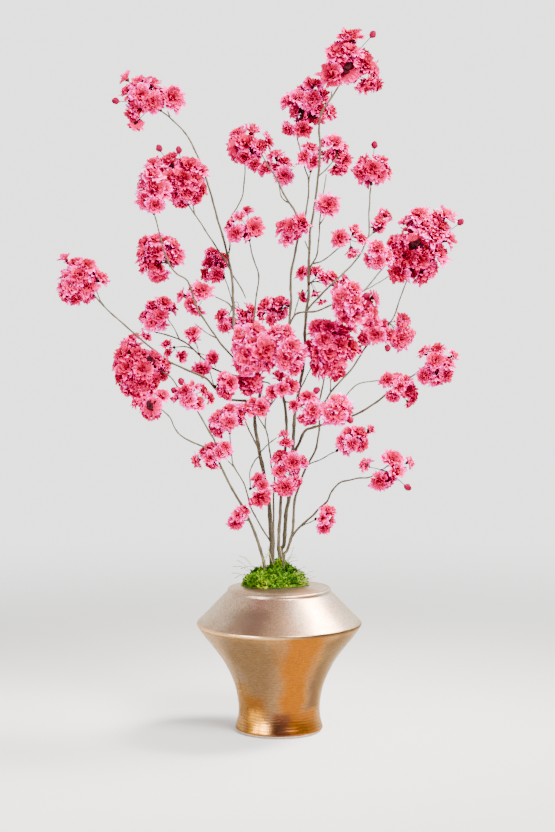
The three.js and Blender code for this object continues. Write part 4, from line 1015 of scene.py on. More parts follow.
def petal_material(settings):
    """Crimson at the throat, pink along the blade, pale and streaked at the frilled rim."""
    surface = Surface("petals")
    petal_map = surface.add("ShaderNodeUVMap", uv_map="UVMap")
    across, along, _ = surface.split(petal_map.outputs["UV"])
    tone = surface.attribute("tone")
    own = surface.attribute("own")
    depth = surface.attribute("depth")
    streaks = surface.add("ShaderNodeCombineXYZ")
    surface.link(surface.times(across, 18.0), streaks.inputs["X"])
    surface.link(surface.times(along, 2.4), streaks.inputs["Y"])
    surface.link(surface.times(own, 60.0), streaks.inputs["Z"])
    veins = surface.noise(streaks.outputs["Vector"], 1.0, 2)
    # Fine speckle: partly the petals' own flecks, partly painted sheen highlights.
    speckle = surface.noise(surface.coordinates(), 380, 1)
    off_middle = surface.math("POWER", surface.math("ABSOLUTE", surface.less(across, 0.5)), 2.0)
    reach = surface.total(along, surface.times(off_middle, 0.7))
    pale_edge = surface.span(reach, 0.82, 1.0, 0.0, FRILL_PALENESS)
    level = surface.total(
        surface.span(reach, 0.0, 1.0, LEVEL_AT_FOOT, LEVEL_AT_RIM),
        surface.times(pale_edge, surface.span(depth, 0.1, 0.6, 1.0, 0.15)),
        surface.span(veins, 0.36, 0.64, -VEIN_CONTRAST, VEIN_CONTRAST),
        surface.span(speckle, 0.36, 0.64, -SPECKLE_CONTRAST, SPECKLE_CONTRAST),
        tone,
        surface.times(surface.less(own, 0.5), PETAL_CONTRAST),
        surface.span(depth, 0.1, 0.6, 0.0, -HEART_DEPTH),
    )
    opened = surface.ramp(
        surface.times(level, 0.8),
        [
            (0.0, settings.throat),
            (0.16, (0.62, 0.0, 0.088)),
            (0.35, settings.blade),
            (0.58, (0.96, 0.0, 0.28)),
            (0.72, settings.rim),
            (0.86, (1.0, 0.05, 0.6)),
            (0.98, (1.0, 0.34, 0.8)),
        ],
    )
    # Only a bud's tone is as low as this.
    closed = surface.span(tone, BUD_TONE, BUD_TONE + 0.12, 1.0, 0.0)
    closed = surface.times(closed, surface.span(veins, 0.36, 0.64, 1.0, 0.6))
    surface.colour(surface.mix(closed, opened, BUD_CRIMSON))
    surface.set(Roughness=0.9, Specular_IOR_Level=0.0)
    surface.bump(veins, 0.0004, 0.5)
    return surface.material


def stalk_material():
    """Dark wine red stalks and calyxes."""
    surface = Surface("stalks")
    grain = surface.noise(surface.coordinates(), 160, 3)
    dark, middle, light = (0.014, 0.001, 0.003), (0.03, 0.002, 0.005), (0.05, 0.008, 0.008)
    surface.colour(surface.ramp(grain, [(0.35, dark), (0.5, middle), (0.68, light)]))
    surface.set(Roughness=0.8, Specular_IOR_Level=0.06)
    surface.bump(surface.noise(surface.coordinates(), 900, 2), 0.0002, 0.6)
    return surface.material


BARK_LIGHT = (0.11, 0.088, 0.046)
BARK_FLECK = (0.15, 0.125, 0.085)


def bark_material(settings):
    """Dry olive brown bark, streaked along its length and flecked."""
    surface = Surface("bark")
    mottle = surface.noise(surface.coordinates(), 34, 4, 0.65)
    fibres = surface.noise(surface.coordinates((1, 1, 0.16)), 620, 3, 0.6)
    flecks = surface.noise(surface.coordinates((1, 1, 2.4)), 260, 2)
    stops = [(0.3, shade_of(settings.bark, 0.6)), (0.5, settings.bark), (0.7, BARK_LIGHT)]
    body = surface.ramp(mottle, stops)
    streaked = surface.mix(surface.span(fibres, 0.38, 0.62, 0.0, 0.6), body, shade_of(settings.bark, 0.5))
    surface.colour(surface.mix(surface.span(flecks, 0.64, 0.72, 0.0, 0.7), streaked, BARK_FLECK))
    surface.set(Roughness=0.78, Specular_IOR_Level=0.3)
    surface.bump(surface.total(fibres, surface.times(flecks, 0.8)), 0.0006, 0.8)
    return surface.material


# Patches on the glaze, set by azimuth from the front: partly where the glaze ran or pooled, partly
# painted reflection and shade. Each gives its colour, the azimuth of its middle (from the front to the
# right) and half its width in degrees, its lower and upper height in metres, and how well it covers.
GLAZE_RUNS_AND_PAINTED_LIGHT = [
    ("ash", -62, 26, 0.1, 0.19, 0.8),
    ("bronze", -18, 26, 0.02, 0.185, 0.85),
    # Partly real orange lustre, partly painted reflection right of the front.
    ("amber", 19, 17, 0.0, 0.21, 1.0),
    # Painted shade down the flare's right side.
    ("shade_brown", 55, 16, 0.05, 0.19, 1.0),
    ("amber", 46, 17, 0.0, 0.05, 0.9),
    ("amber", -36, 17, 0.0, 0.075, 0.75),
    # Partly a gold lustre pool, partly a painted highlight round the side lamp's reflection.
    ("gold", -34, 10, 0.008, 0.05, 0.9),
    ("ember", 3, 14, 0.0, 0.045, 1.0),
    ("amber", 152, 24, 0.0, 0.2, 0.9),
    ("bronze", 108, 20, 0.03, 0.2, 0.7),
    ("amber", -128, 18, 0.01, 0.17, 0.8),
    ("ember", -160, 22, 0.0, 0.05, 0.9),
    # Painted shade on the left front of the shoulder.
    ("umber", -24, 18, 0.2, 0.238, 0.75),
    ("rose", -1, 8, 0.2, 0.25, 0.8),
    ("umber", 120, 30, 0.2, 0.24, 0.6),
    ("rose", -140, 30, 0.2, 0.26, 0.7),
    # Painted reflection on the shoulder's left and right edges, as seen from the front.
    ("edge_sheen", 78, 22, 0.2, 0.28, 0.75),
    ("edge_sheen", -84, 20, 0.2, 0.28, 0.7),
]
PATCH_EDGE = 0.6  # how soft a patch's sides are, as a share of half its width
PATCH_END = 0.007  # and its two ends, in metres
AZIMUTH_DRIFT = 26.0  # how far the patches' sides wander, in degrees
HEIGHT_DRIFT = 0.03  # and their ends, in metres
RIDGE_HEIGHT = 0.1995
RIDGE_DRIFT = 0.0016
LIP_BELOW = (0.1925, 0.195)  # heights between which the lip under the ridge begins, painted with highlight and shade
LIP_ABOVE = (0.199, 0.2)  # and ends
BARE_BELOW = (0.0042, 0.0052)  # heights between which the bare clay of the foot ends
CRACKLE_SCALE = 420
PEBBLE_SCALE = 430
RING_SCALE = 62
METAL_EDGE = (0.82, 0.69, 0.54, 1)  # tint of the lustre where it is seen at a slant


def grey(value):
    return (value, value, value)


def patch_cover(surface, azimuth, height, middle, half, low, high, cover):
    """How strongly one patch covers, by its azimuth and height."""
    turned = surface.math("WRAP", surface.less(azimuth, middle), 180, -180)
    away = surface.math("ABSOLUTE", turned)
    sides = surface.span(away, half * (1 - PATCH_EDGE), half * (1 + PATCH_EDGE), cover, 0.0)
    rises = surface.span(height, low - PATCH_END, low + PATCH_END)
    ends = surface.span(height, high - PATCH_END, high + PATCH_END, 1.0, 0.0)
    return surface.times(sides, surface.times(rises, ends))


def glaze_material(settings):
    """Lustre glaze: crackled rose silver on the shoulder, ringed copper gold on the flare, with painted
    reflection, highlight and shade in patches and along the lip.
    """
    surface = Surface("lustre_glaze")
    source = surface.add("ShaderNodeTexCoord")
    x, y, height = surface.split(source.outputs["Object"])
    plain = surface.coordinates()
    drift = surface.less(surface.noise(plain, 24, 4, 0.6), 0.5)
    angle = surface.math("DEGREES", surface.math("ARCTAN2", x, surface.times(y, -1.0)))
    azimuth = surface.total(angle, surface.times(drift, AZIMUTH_DRIFT))
    ragged = surface.total(height, surface.times(drift, HEIGHT_DRIFT))
    clouds = surface.noise(plain, 20, 3, 0.6)
    mottle = surface.noise(surface.coordinates((1, 1, 2.6)), 150, 4, 0.65)
    pebble = surface.noise(plain, PEBBLE_SCALE, 2)
    shoulder = surface.mix(surface.span(clouds, 0.35, 0.65), settings.silver, settings.rose)
    flare = surface.mix(surface.span(clouds, 0.3, 0.7, 0.0, 0.5), settings.copper, settings.bronze)
    flare = surface.mix(surface.span(pebble, 0.5, 0.7, 0.0, 0.3), flare, settings.gold)
    for colour, middle, half, low, high, cover in GLAZE_RUNS_AND_PAINTED_LIGHT:
        weight = patch_cover(surface, azimuth, ragged, middle, half, low, high, cover)
        if low < RIDGE_HEIGHT:
            flare = surface.mix(weight, flare, getattr(settings, colour))
        else:
            shoulder = surface.mix(weight, shoulder, getattr(settings, colour))
    cells = surface.add("ShaderNodeTexVoronoi", feature="DISTANCE_TO_EDGE")
    cells.inputs["Scale"].default_value = CRACKLE_SCALE
    surface.link(plain, cells.inputs["Vector"])
    cracks = surface.span(cells.outputs["Distance"], 0.0, 0.2)
    shoulder = surface.mix(surface.span(cracks, 0.0, 1.0, 0.55, 0.0), shoulder, settings.umber)
    # Dark specks by the pebble noise: painted shade of the glaze's pebbled relief.
    shoulder = surface.mix(surface.span(pebble, 0.38, 0.58, 0.62, 0.0), shoulder, settings.umber)
    rings = surface.add("ShaderNodeTexWave", wave_type="BANDS", bands_direction="Z")
    rings.inputs["Scale"].default_value = RING_SCALE
    rings.inputs["Distortion"].default_value = 3.5
    rings.inputs["Detail"].default_value = 2
    rings.inputs["Detail Scale"].default_value = 1.4
    surface.link(plain, rings.inputs["Vector"])
    ringing = surface.span(height, 0.03, 0.08, 0.42, 0.14)
    flare = surface.mix(surface.times(rings.outputs["Fac"], ringing), flare, settings.ember)
    flare = surface.mix(surface.span(mottle, 0.36, 0.62, 0.36, 0.0), flare, settings.ember)
    ridge = surface.total(height, surface.times(drift, RIDGE_DRIFT))
    above = surface.span(ridge, RIDGE_HEIGHT - MM, RIDGE_HEIGHT + MM)
    body = surface.mix(above, flare, shoulder)
    lip = surface.times(surface.span(ridge, *LIP_BELOW), surface.span(ridge, *LIP_ABOVE, 1.0, 0.0))
    # The lip's band: painted highlight on its left, where the ridge catches the light, turning to painted
    # shade on its right.
    painted_lip_light = surface.mix(surface.span(azimuth, -20.0, 25.0), settings.ridge_highlight, settings.shade_brown)
    body = surface.mix(surface.times(lip, 0.8), body, painted_lip_light)
    bare = surface.span(height, *BARE_BELOW, 1.0, 0.0)
    clay = surface.ramp(surface.noise(plain, 240, 2), [(0.3, (0.3, 0.2, 0.15)), (0.7, (0.5, 0.38, 0.3))])
    surface.colour(surface.mix(bare, body, clay))
    surface.link(surface.less(1.0, bare), surface.shader.inputs["Metallic"])
    surface.set(Specular_Tint=METAL_EDGE)
    gloss = surface.mix(above, grey(0.24), grey(0.33))
    worn = surface.mix(surface.span(clouds, 0.3, 0.7, 0.0, 0.4), gloss, grey(0.4))
    surface.link(surface.mix(bare, worn, grey(0.8)), surface.shader.inputs["Roughness"])
    grain = surface.total(surface.times(cracks, 0.12), surface.times(pebble, 0.6))
    thrown = surface.total(surface.times(rings.outputs["Fac"], 0.8), surface.times(pebble, 0.5))
    surface.bump(surface.mix(above, thrown, grain), 0.00022, 0.6)
    return surface.material


MOSS_GREEN = (0.125, 0.24, 0.001)
MOSS_YELLOW = (0.36, 0.42, 0.008)
# Painted shade: the mound's body, seen in the gaps between fronds, is near black.
MOSS_GAP_SHADE = (0.012, 0.02, 0.004)
HEAP_MARK = -1.0  # the "own" of the mound's dark body; a frond's own lies between 0 and 1


def moss_material(settings):
    """Bright green fronds, yellower in patches and with fine specks of painted shade, over a near black
    body that paints the shade between them.
    """
    surface = Surface("moss")
    plain = surface.coordinates()
    patches = surface.noise(plain, 38, 2)
    fine = surface.noise(plain, 500, 2)
    own = surface.attribute("own")
    level = surface.total(patches, surface.times(surface.less(own, 0.5), 0.32))
    shaded, leaf = shade_of(settings.leaf, 0.2), settings.leaf
    green = surface.ramp(level, [(0.36, shaded), (0.48, leaf), (0.62, MOSS_GREEN), (0.82, MOSS_YELLOW)])
    # Fine dark specks: painted shade for the gaps between fronds.
    speckled = surface.mix(surface.span(fine, 0.35, 0.65, 0.0, 0.35), green, shade_of(settings.leaf, 0.3))
    # The body under the fronds takes the painted shade colour.
    surface.colour(surface.mix(surface.span(own, -0.6, -0.4, 1.0, 0.0), speckled, MOSS_GAP_SHADE))
    surface.set(Roughness=0.8, Specular_IOR_Level=0.08)
    surface.bump(fine, 0.0006, 0.6)
    return surface.material


def root_material():
    """Dry tan roots among the moss."""
    surface = Surface("dry_roots")
    grain = surface.noise(surface.coordinates(), 300, 3)
    surface.colour(surface.ramp(grain, [(0.3, (0.08, 0.075, 0.015)), (0.7, (0.28, 0.24, 0.08))]))
    surface.set(Roughness=0.85)
    surface.bump(grain, 0.0003, 0.6)
    return surface.material


def floor_material(settings):
    """Pale floor that fades into the pale light all round."""
    surface = Surface("pale_floor")
    distance = surface.add("ShaderNodeVectorMath", operation="LENGTH")
    surface.link(surface.coordinates((1, 1, 0)), distance.inputs[0])
    mottle = surface.noise(surface.coordinates(), 3, 2)
    near = surface.ramp(mottle, [(0.3, shade_of(settings.floor, 0.97)), (0.7, settings.floor)])
    surface.colour(near)
    fading = surface.span(distance.outputs["Value"], 0.8, 2.6, 1.0, 0.0)
    surface.link(fading, surface.shader.inputs["Alpha"])
    surface.set(Roughness=0.8, Specular_IOR_Level=0.0)
    return surface.material


# ---- Vase ----

# Outside and inside of the vase as (radius, height) in millimetres.
VASE_FOOT = [
    (0.0, 0.0), (73.0, 0.0), (74.6, 0.3), (76.6, 1.5), (77.8, 3.0), (78.4, 4.4), (79.7, 5.4), (80.0, 7.0),
]
VASE_FLARE = [
    (79.0, 11), (77.0, 17), (75.3, 24), (74.3, 32), (74.0, 40), (74.3, 48), (75.3, 57), (77.2, 68),
    (79.8, 80), (83.2, 91), (87.6, 102), (92.8, 113), (98.4, 124), (104.6, 134), (111.6, 144),
    (119.4, 154), (127.6, 164.5), (136.2, 175.6), (142.9, 184.6), (147.0, 190.6), (148.8, 193.6),
    (149.8, 195.6), (150.0, 197.4), (149.4, 199.2), (148.0, 200.8),
]
VASE_SHOULDER = [
    (145.2, 203.2), (140.9, 207.6), (135.0, 213.4), (128.0, 220.6), (120.5, 228.6), (112.6, 237.0),
    (105.0, 244.9), (98.6, 251.0), (95.6, 253.6), (94.2, 254.8), (93.8, 256.4), (94.0, 258.4),
    (93.4, 260.3), (92.0, 261.6), (90.0, 262.1), (88.2, 261.8), (87.0, 261.6), (85.6, 262.1),
    (84.0, 263.1), (81.0, 264.0), (76.0, 264.9), (66.0, 266.4), (56.0, 267.7), (46.0, 268.7),
    (42.0, 268.8), (40.6, 268.0), (40.0, 266.6), (40.6, 264.8),
]
VASE_HOLLOW = [
    (60.0, 260.0), (88.0, 252.5), (103.0, 240.0), (121.0, 225.0), (138.0, 204.0), (142.5, 195.0),
    (121.0, 166.0), (95.0, 130.0), (78.0, 95.0), (68.5, 44.0), (67.0, 10.0), (0.0, 10.0),
]
TOUCHING = 0.01 * MM  # points nearer to one another, or to the axis, than this are the same


class BLOSSOM_OT_vase(bpy.types.Operator):
    """Spin the vase from its outline and glaze it"""

    bl_idname = "blossom.vase"
    bl_label = "Glazed vase"

    def execute(self, context):
        settings = context.scene.blossom_vase
        outline = [*VASE_FOOT, *VASE_FLARE, *VASE_SHOULDER, *VASE_HOLLOW]
        start_clean()
        bpy.ops.mesh.primitive_circle_add(vertices=len(outline), fill_type="NOTHING", location=(0, 0, 0))
        vase = context.object
        vase.name = "vase_glazed"
        mesh = vase.data
        rows = np.array([(radius * MM, 0, height * MM) for radius, height in outline])
        move_vertices(mesh, rows)
        # The circle's last edge runs back along the axis and isn't part of the outline.
        bpy.ops.object.mode_set(mode="EDIT")
        bpy.ops.mesh.select_mode(type="EDGE")
        bpy.ops.mesh.select_all(action="DESELECT")
        bpy.ops.object.mode_set(mode="OBJECT")
        for edge in mesh.edges:
            edge.select = all(mesh.vertices[i].co.x < TOUCHING for i in edge.vertices)
        bpy.ops.object.mode_set(mode="EDIT")
        bpy.ops.mesh.delete(type="EDGE_FACE")
        bpy.ops.mesh.select_all(action="SELECT")
        bpy.ops.mesh.spin(
            steps=settings.segments,
            angle=2 * math.pi,
            center=(0, 0, 0),
            axis=(0, 0, 1),
            use_auto_merge=True,
        )
        bpy.ops.mesh.select_all(action="SELECT")
        bpy.ops.mesh.remove_doubles(threshold=TOUCHING)
        bpy.ops.mesh.normals_make_consistent(inside=False)
        bpy.ops.object.mode_set(mode="OBJECT")
        bpy.ops.object.shade_smooth_by_angle(angle=math.radians(40))
        finish_piece(vase, glaze_material(settings), "glaze", "vase")
        return {"FINISHED"}


# ---- Moss ----

MOUND_CENTRE = Vector((-0.0075, -0.002, 0))
MOUND_BASE = 0.2688
MOUND_TOP = 0.2945
TUFT_TOP = 0.3115
TUFT_PLACE = Vector((0.004, 0, 0))
TUFT_SPREAD = 0.013
LIP_RADIUS = 0.046  # where the vase's top starts to fall away from its mouth
LIP_FALL = 0.142
FROND_SIZES = (0.0035, 0.0085)
FROND_DEPTH = 0.002  # how deep its foot stands in the mound
ROOT_RADIUS = 0.0007
ROOT_TAPER = 0.0003
HEAP_SHARE = 0.97  # of the mound's width and depth
HEAP_COVER = 0.0035  # how far the dark body lies under the fronds
LUMPS = ((48, 2.0, 0.008), (130, 5.0, 0.004))  # scale of the noise, its slice, and height in metres


def mound_height(x, y, settings):
    """Height of the moss at a place: a lumpy mound with a tuft that climbs the stems."""
    across = (x - MOUND_CENTRE.x) / settings.half_width
    away = (y - MOUND_CENTRE.y) / settings.half_depth
    body = (MOUND_TOP - MOUND_BASE) * max(0.0, 1 - math.hypot(across, away) ** 3.2) ** 0.6
    near_stems = math.hypot(x - TUFT_PLACE.x, y - TUFT_PLACE.y)
    tuft = (TUFT_TOP - MOUND_TOP) * math.exp(-((near_stems / TUFT_SPREAD) ** 2))
    lump = sum(noise.noise(Vector((x * scale, y * scale, cut))) * rise for scale, cut, rise in LUMPS)
    return top_height(x, y) + max(0.0, body + tuft + lump * min(1.0, body / 0.012))


def top_height(x, y):
    """Height of the vase's top under the moss."""
    return MOUND_BASE - LIP_FALL * max(0.0, math.hypot(x, y) - LIP_RADIUS)


def frond_model(seed):
    """One frond: a curved midrib with leaflets on both sides."""
    rng = random.Random(seed)
    start_clean()
    bpy.ops.mesh.primitive_grid_add(x_subdivisions=2, y_subdivisions=7, size=2)
    frond = bpy.context.object
    made = []
    for x, y, _ in vertices_of(frond.data):
        along = (y + 1) / 2
        half = 0.24 * (1 - along) ** 0.5 + 0.02
        leaflet = 1.0 + 0.75 * math.cos(round((y + 1) * 3.5) * math.pi)
        sag = 0.45 * along**2 + abs(x) * 0.16 * rng.uniform(0.5, 1.5)
        made.append((x * half * leaflet, along + abs(x) * 0.1 * leaflet, sag))
    move_vertices(frond.data, made)
    return frond


class BLOSSOM_OT_moss(bpy.types.Operator):
    """Heap the moss round the stems, with its fronds and dry roots"""

    bl_idname = "blossom.moss"
    bl_label = "Moss mound"

    def execute(self, context):
        settings = context.scene.blossom_moss
        rng = random.Random(11)
        models = [frond_model(seed) for seed in range(5)]
        pieces = [self.heap(settings)]
        for _ in range(settings.fronds):
            turn = rng.uniform(0, 2 * math.pi)
            out = math.sqrt(rng.random()) * 1.02
            if rng.random() < 0.2:
                out = rng.uniform(0.9, 1.05)
            if rng.random() < 0.12:
                out = rng.uniform(0.0, 0.35)
            outward = Vector((math.cos(turn) * out, math.sin(turn) * out, 0))
            foot = MOUND_CENTRE + outward * Vector((settings.half_width, settings.half_depth, 0))
            foot.z = mound_height(foot.x, foot.y, settings) - FROND_DEPTH
            steep = max(0.0, out - 0.55) * 2.2
            lean = outward.normalized() * (0.15 + steep) + Vector((0, 0, 1.15 - out * 0.65))
            lean += Vector((rng.uniform(-0.75, 0.75), rng.uniform(-0.75, 0.75), rng.uniform(-0.3, 0.4)))
            size = rng.uniform(*FROND_SIZES) * (1.35 if rng.random() < 0.07 else 1.0)
            upright = Matrix.Rotation(math.radians(90), 4, "X")
            turned = turn_towards(lean.normalized(), rng.uniform(0, 6.28)) @ upright
            frond = copy_of(rng.choice(models), Matrix.Translation(foot) @ turned @ Matrix.Scale(size, 4))
            mark_points(frond.data, "own", rng.random())
            pieces.append(frond)
        moss = joined("moss_mound", pieces)
        put_away(models)
        finish_piece(moss, moss_material(settings), "moss", "moss")
        self.add_roots(context, rng)
        return {"FINISHED"}

    def heap(self, settings):
        """The dark body of the mound under the fronds."""
        start_clean()
        bpy.ops.mesh.primitive_uv_sphere_add(segments=48, ring_count=24, radius=1)
        heap = bpy.context.object
        rows = []
        for x, y, z in vertices_of(heap.data):
            real_x = MOUND_CENTRE.x + x * settings.half_width * HEAP_SHARE
            real_y = MOUND_CENTRE.y + y * settings.half_depth * HEAP_SHARE
            base = top_height(real_x, real_y)
            top = mound_height(real_x, real_y, settings) - HEAP_COVER if z > 0 else base
            rows.append((real_x, real_y, max(base, top)))
        move_vertices(heap.data, rows)
        bpy.ops.object.shade_smooth()
        mark_points(heap.data, "own", HEAP_MARK)
        return heap

    def add_roots(self, context, rng):
        """Thin dry roots that lie over the moss and stray from it."""
        roots = []
        for start, end, rise in ROOTS:
            a = place(*start)
            b = place(*end)
            middle = (a + b) / 2 + Vector((0, -0.004, rise * MM))
            wander = Vector((rng.uniform(-2, 2), rng.uniform(-2, 2), rng.uniform(-1, 1))) * MM
            route = smooth_route([a, middle + wander, b], 0.003)
            radii = [ROOT_RADIUS - ROOT_TAPER * i / len(route) for i in range(len(route))]
            roots.append(tube("root", route, radii, 0))
        finish_piece(joined("moss_roots", roots), root_material(), "moss")


# Dry roots: start, end and how far the middle rises, in millimetres.
ROOTS = [
    ((-84, 300, -22), (-54, 290, -36), 5),
    ((-72, 320, -16), (-48, 298, -34), 4),
    ((-62, 318, -10), (-44, 296, -30), 2),
    ((-86, 288, -26), (-60, 276, -38), 6),
    ((48, 300, -12), (30, 286, -32), 4),
    ((62, 292, -16), (40, 278, -34), 4),
    ((66, 282, -18), (46, 270, -34), 3),
    ((56, 268, -26), (38, 274, -38), 2),
    ((-20, 336, -16), (-12, 308, -28), 2),
    ((2, 338, -20), (6, 310, -28), 3),
    ((26, 336, -16), (16, 308, -26), 2),
    ((-34, 322, -18), (-22, 300, -32), 3),
    ((-76, 312, -30), (-52, 292, -40), 3),
    ((-80, 279, -32), (-58, 284, -40), 4),
    ((-70, 296, -20), (-40, 300, -38), 3),
    ((44, 268, -26), (60, 277, -20), 4),
    ((34, 286, -30), (58, 283, -24), 3),
    ((-32, 306, -30), (-16, 322, -24), 3),
    ((-26, 302, -34), (-20, 326, -20), 2),
    ((14, 312, -24), (30, 322, -18), 3),
    ((16, 306, -30), (34, 312, -22), 2),
    ((8, 320, -18), (22, 334, -14), 2),
    ((-12, 312, 20), (-26, 324, 30), 3),
    ((12, 308, 20), (32, 318, 28), 3),
]


# ---- Stems ----

ROUTE_STEP = 0.004
NODE_SWELLING = 0.22  # as shares of a twig's radius: at a node, and at its foot
COLLAR_SWELLING = 0.35
COLLAR_REACH = 0.006
TIP_SHARE = 0.7  # how far a twig narrows at its very tip
CROOK = 0.0011  # how far a twig strays from its route, in metres
CROOK_SCALE = 38
CROOK_SEED = 5


class BLOSSOM_OT_stems(bpy.types.Operator):
    """Grow the stems and twigs along their routes"""

    bl_idname = "blossom.stems"
    bl_label = "Stems"

    def execute(self, context):
        settings = context.scene.blossom_branches
        bark = bark_material(settings)
        # Noise vectors are seeded from the clock unless they are given a seed.
        noise.seed_set(CROOK_SEED)
        for number, (name, shoots) in enumerate(STEMS.items()):
            rng = random.Random(number)
            twigs = [self.twig(settings, rng, *shoot) for shoot in shoots]
            stem = joined(name + "_bark", twigs)
            self.roughen(stem, settings.roughening)
            bpy.ops.object.shade_smooth()
            finish_piece(stem, bark, "bark", name)
        return {"FINISHED"}

    def twig(self, settings, rng, start, end, route):
        """One shoot, swollen at its nodes and a little crooked between them."""
        points = smooth_route([place(*point) for point in route], ROUTE_STEP)
        phase = rng.uniform(0, 1)
        radii = []
        last = len(points) - 1
        travelled = 0.0
        for i, point in enumerate(points):
            if i:
                travelled += (point - points[i - 1]).length
            near_node = 0.5 + 0.5 * math.cos((travelled / settings.node_spacing + phase) * 2 * math.pi)
            swelling = 1 + NODE_SWELLING * near_node**8
            collar = 1 + COLLAR_SWELLING * math.exp(-travelled / COLLAR_REACH)
            radii.append((start + (end - start) * i / last) * MM * swelling * collar * settings.stoutness)
            crook = Vector(noise.noise_vector(point * CROOK_SCALE)) * CROOK
            points[i] = point + crook * min(1.0, travelled / 0.02) * min(1.0, (last - i) / 3)
        radii[-1] *= TIP_SHARE
        return tube("twig", points, radii)

    def roughen(self, stem, depth):
        texture = bpy.data.textures.new("bark_relief", "CLOUDS")
        texture.noise_scale = 0.006
        activate(stem)
        relief = stem.modifiers.new("relief", "DISPLACE")
        relief.texture = texture
        relief.texture_coords = "GLOBAL"
        relief.strength = depth
        relief.mid_level = 0.5
        bpy.ops.object.modifier_apply(modifier=relief.name)


# ---- Blossoms ----

# Rings of petals from the outside in: how many, how far they rise from flat in degrees, and their
# length and width as shares of the blossom's radius.
OPEN_RINGS = [
    (8, 4, 1.24, 0.34),
    (9, -10, 1.02, 0.66),
    (8, 12, 1.0, 0.66),
    (8, 34, 0.84, 0.6),
    (6, 56, 0.64, 0.52),
    (3, 78, 0.44, 0.42),
]
FAN_RINGS = [
    (5, 16, 1.26, 0.38),
    (6, 8, 1.08, 0.98),
    (5, 34, 0.98, 0.9),
    (5, 58, 0.76, 0.66),
    (3, 80, 0.56, 0.46),
]
SPIKY_RINGS = [(6, 30, 1.1, 0.62), (5, 54, 1.05, 0.56), (4, 74, 0.9, 0.46)]
NOTCH_DEPTH = 0.16  # of a petal's rim, as a share of its length
TOOTH_DEPTH = 0.07  # and of the frill's teeth
FOOT_WIDTH = 0.16  # of a petal, as a share of its width
ROUNDING = 0.22  # how far a petal's corners fall back
PLEATS = 5
PLEAT_DEPTH = 0.16
SPUR_RADIUS = 0.0028
STALK_RADIUS = 0.0009
STALK_TAPER = 0.0002
STALK_BOW = 0.18  # how far a stalk bends back and up, as shares of its length
STALK_RISE = 0.12
TONE_JITTER = 0.09
BUD_RADIUS = 0.006
BUD_CALYX = 2.0  # size of a bud's calyx beside a blossom's, for the same radius
BUD_TONE = -0.62
SPARE_CALYXES = 4  # extra dark ones behind a blossom that turns its back, in these sprays, partly painted shade for their dark patches
SHADED_SPRAYS = ("blossoms_right_cloud", "blossoms_left_dark_cloud", "blossoms_left_dark_pair", "blossoms_top")

# The models that a blossom of each look may take, and how far it turns to the eye.
KINDS = {
    FAIR: ("full", "fan"),
    MID: ("full", "full", "fan", "fan", "fan", "spiky"),
    DEEP: ("full", "fan"),
    FACE: ("full",),
    BACK: ("fan",),
    SPIKY: ("spiky",),
}
TOWARDS = {FAIR: 0.35, MID: 0.35, DEEP: 0.35, FACE: 3.0, BACK: -2.2, SPIKY: 0.1}

# Sprays whose blossoms are fuller than the rest.
SWELLING = {
    "blossoms_heart_wide": 1.42,
    "blossoms_heart_right": 1.4,
    "blossoms_right_cloud": 1.45,
    "blossoms_left_dark_cloud": 1.28,
    "blossoms_left_cloud": 1.28,
    "blossoms_crimson": 1.28,
    "blossoms_top": 1.36,
    "blossoms_far_left": 1.3,
    "blossoms_high_centre": 1.22,
    "blossoms_crown_left": 1.22,
    "blossoms_pale_globe": 1.4,
    "blossoms_right_inner": 1.3,
    "blossoms_left_globe": 1.25,
    "blossoms_left_end": 1.25,
    "blossoms_left_pale": 1.25,
}


def petal_model(rng, length, width, ruffle):
    """A petal from a grid: narrow at its foot, broad and notched at its frilled rim, and cupped."""
    start_clean()
    bpy.ops.mesh.primitive_grid_add(x_subdivisions=6, y_subdivisions=4, size=2, calc_uvs=True)
    petal = bpy.context.object
    phase = rng.uniform(0, 2 * math.pi)
    curl = rng.uniform(-0.16, 0.22)
    cup = rng.uniform(0.16, 0.34)
    rows = []
    for x, y, _ in vertices_of(petal.data):
        along = (y + 1) / 2
        broad = math.sin(math.pi * min(1.0, along * 0.66)) ** 0.9
        half = width * (FOOT_WIDTH + (1 - FOOT_WIDTH) * broad) / 2
        tooth = rng.uniform(-TOOTH_DEPTH, TOOTH_DEPTH)
        notch = NOTCH_DEPTH * math.exp(-((x / 0.22) ** 2))
        reach = along * (1 - ROUNDING * x * x * along) + (tooth - notch) * max(0.0, along - 0.6) / 0.4
        wave = ruffle * width * math.sin(x * 5.2 + phase) * along**2
        lift = cup * width * x * x * math.sin(math.pi * min(1.0, along * 0.9)) + curl * length * along**2
        rows.append((x * half, reach * length, lift + wave))
    move_vertices(petal.data, rows)
    return petal


def blossom_model(name, seed, rings, ruffle):
    """A blossom of radius 1 that faces +Z, from rings of petals."""
    rng = random.Random(seed)
    petals = []
    for level, (count, rise, length, width) in enumerate(rings):
        offset = level * 0.9 + rng.uniform(0, 1)
        for i in range(count):
            own_length = length * rng.uniform(0.8, 1.12)
            own_width = width * rng.uniform(0.8, 1.15)
            petal = petal_model(rng, own_length, own_width, ruffle)
            tilt = math.radians(rise + rng.uniform(-14, 14))
            turn = 2 * math.pi * (i + rng.uniform(-0.22, 0.22)) / count + offset
            foot = Vector((0, 0.05, -0.3 + 0.06 * level))
            matrix = (
                Matrix.Rotation(turn, 4, "Z")
                @ Matrix.Translation(foot)
                @ Matrix.Rotation(tilt, 4, "X")
                @ Matrix.Rotation(rng.uniform(-0.35, 0.35), 4, "Y")
            )
            petal.data.transform(matrix)
            mark_points(petal.data, "own", rng.random())
            mark_points(petal.data, "depth", max(0.0, (level - 1) / (len(rings) - 2)))
            petals.append(petal)
    model = joined(name, petals)
    bpy.ops.object.shade_smooth()
    return model


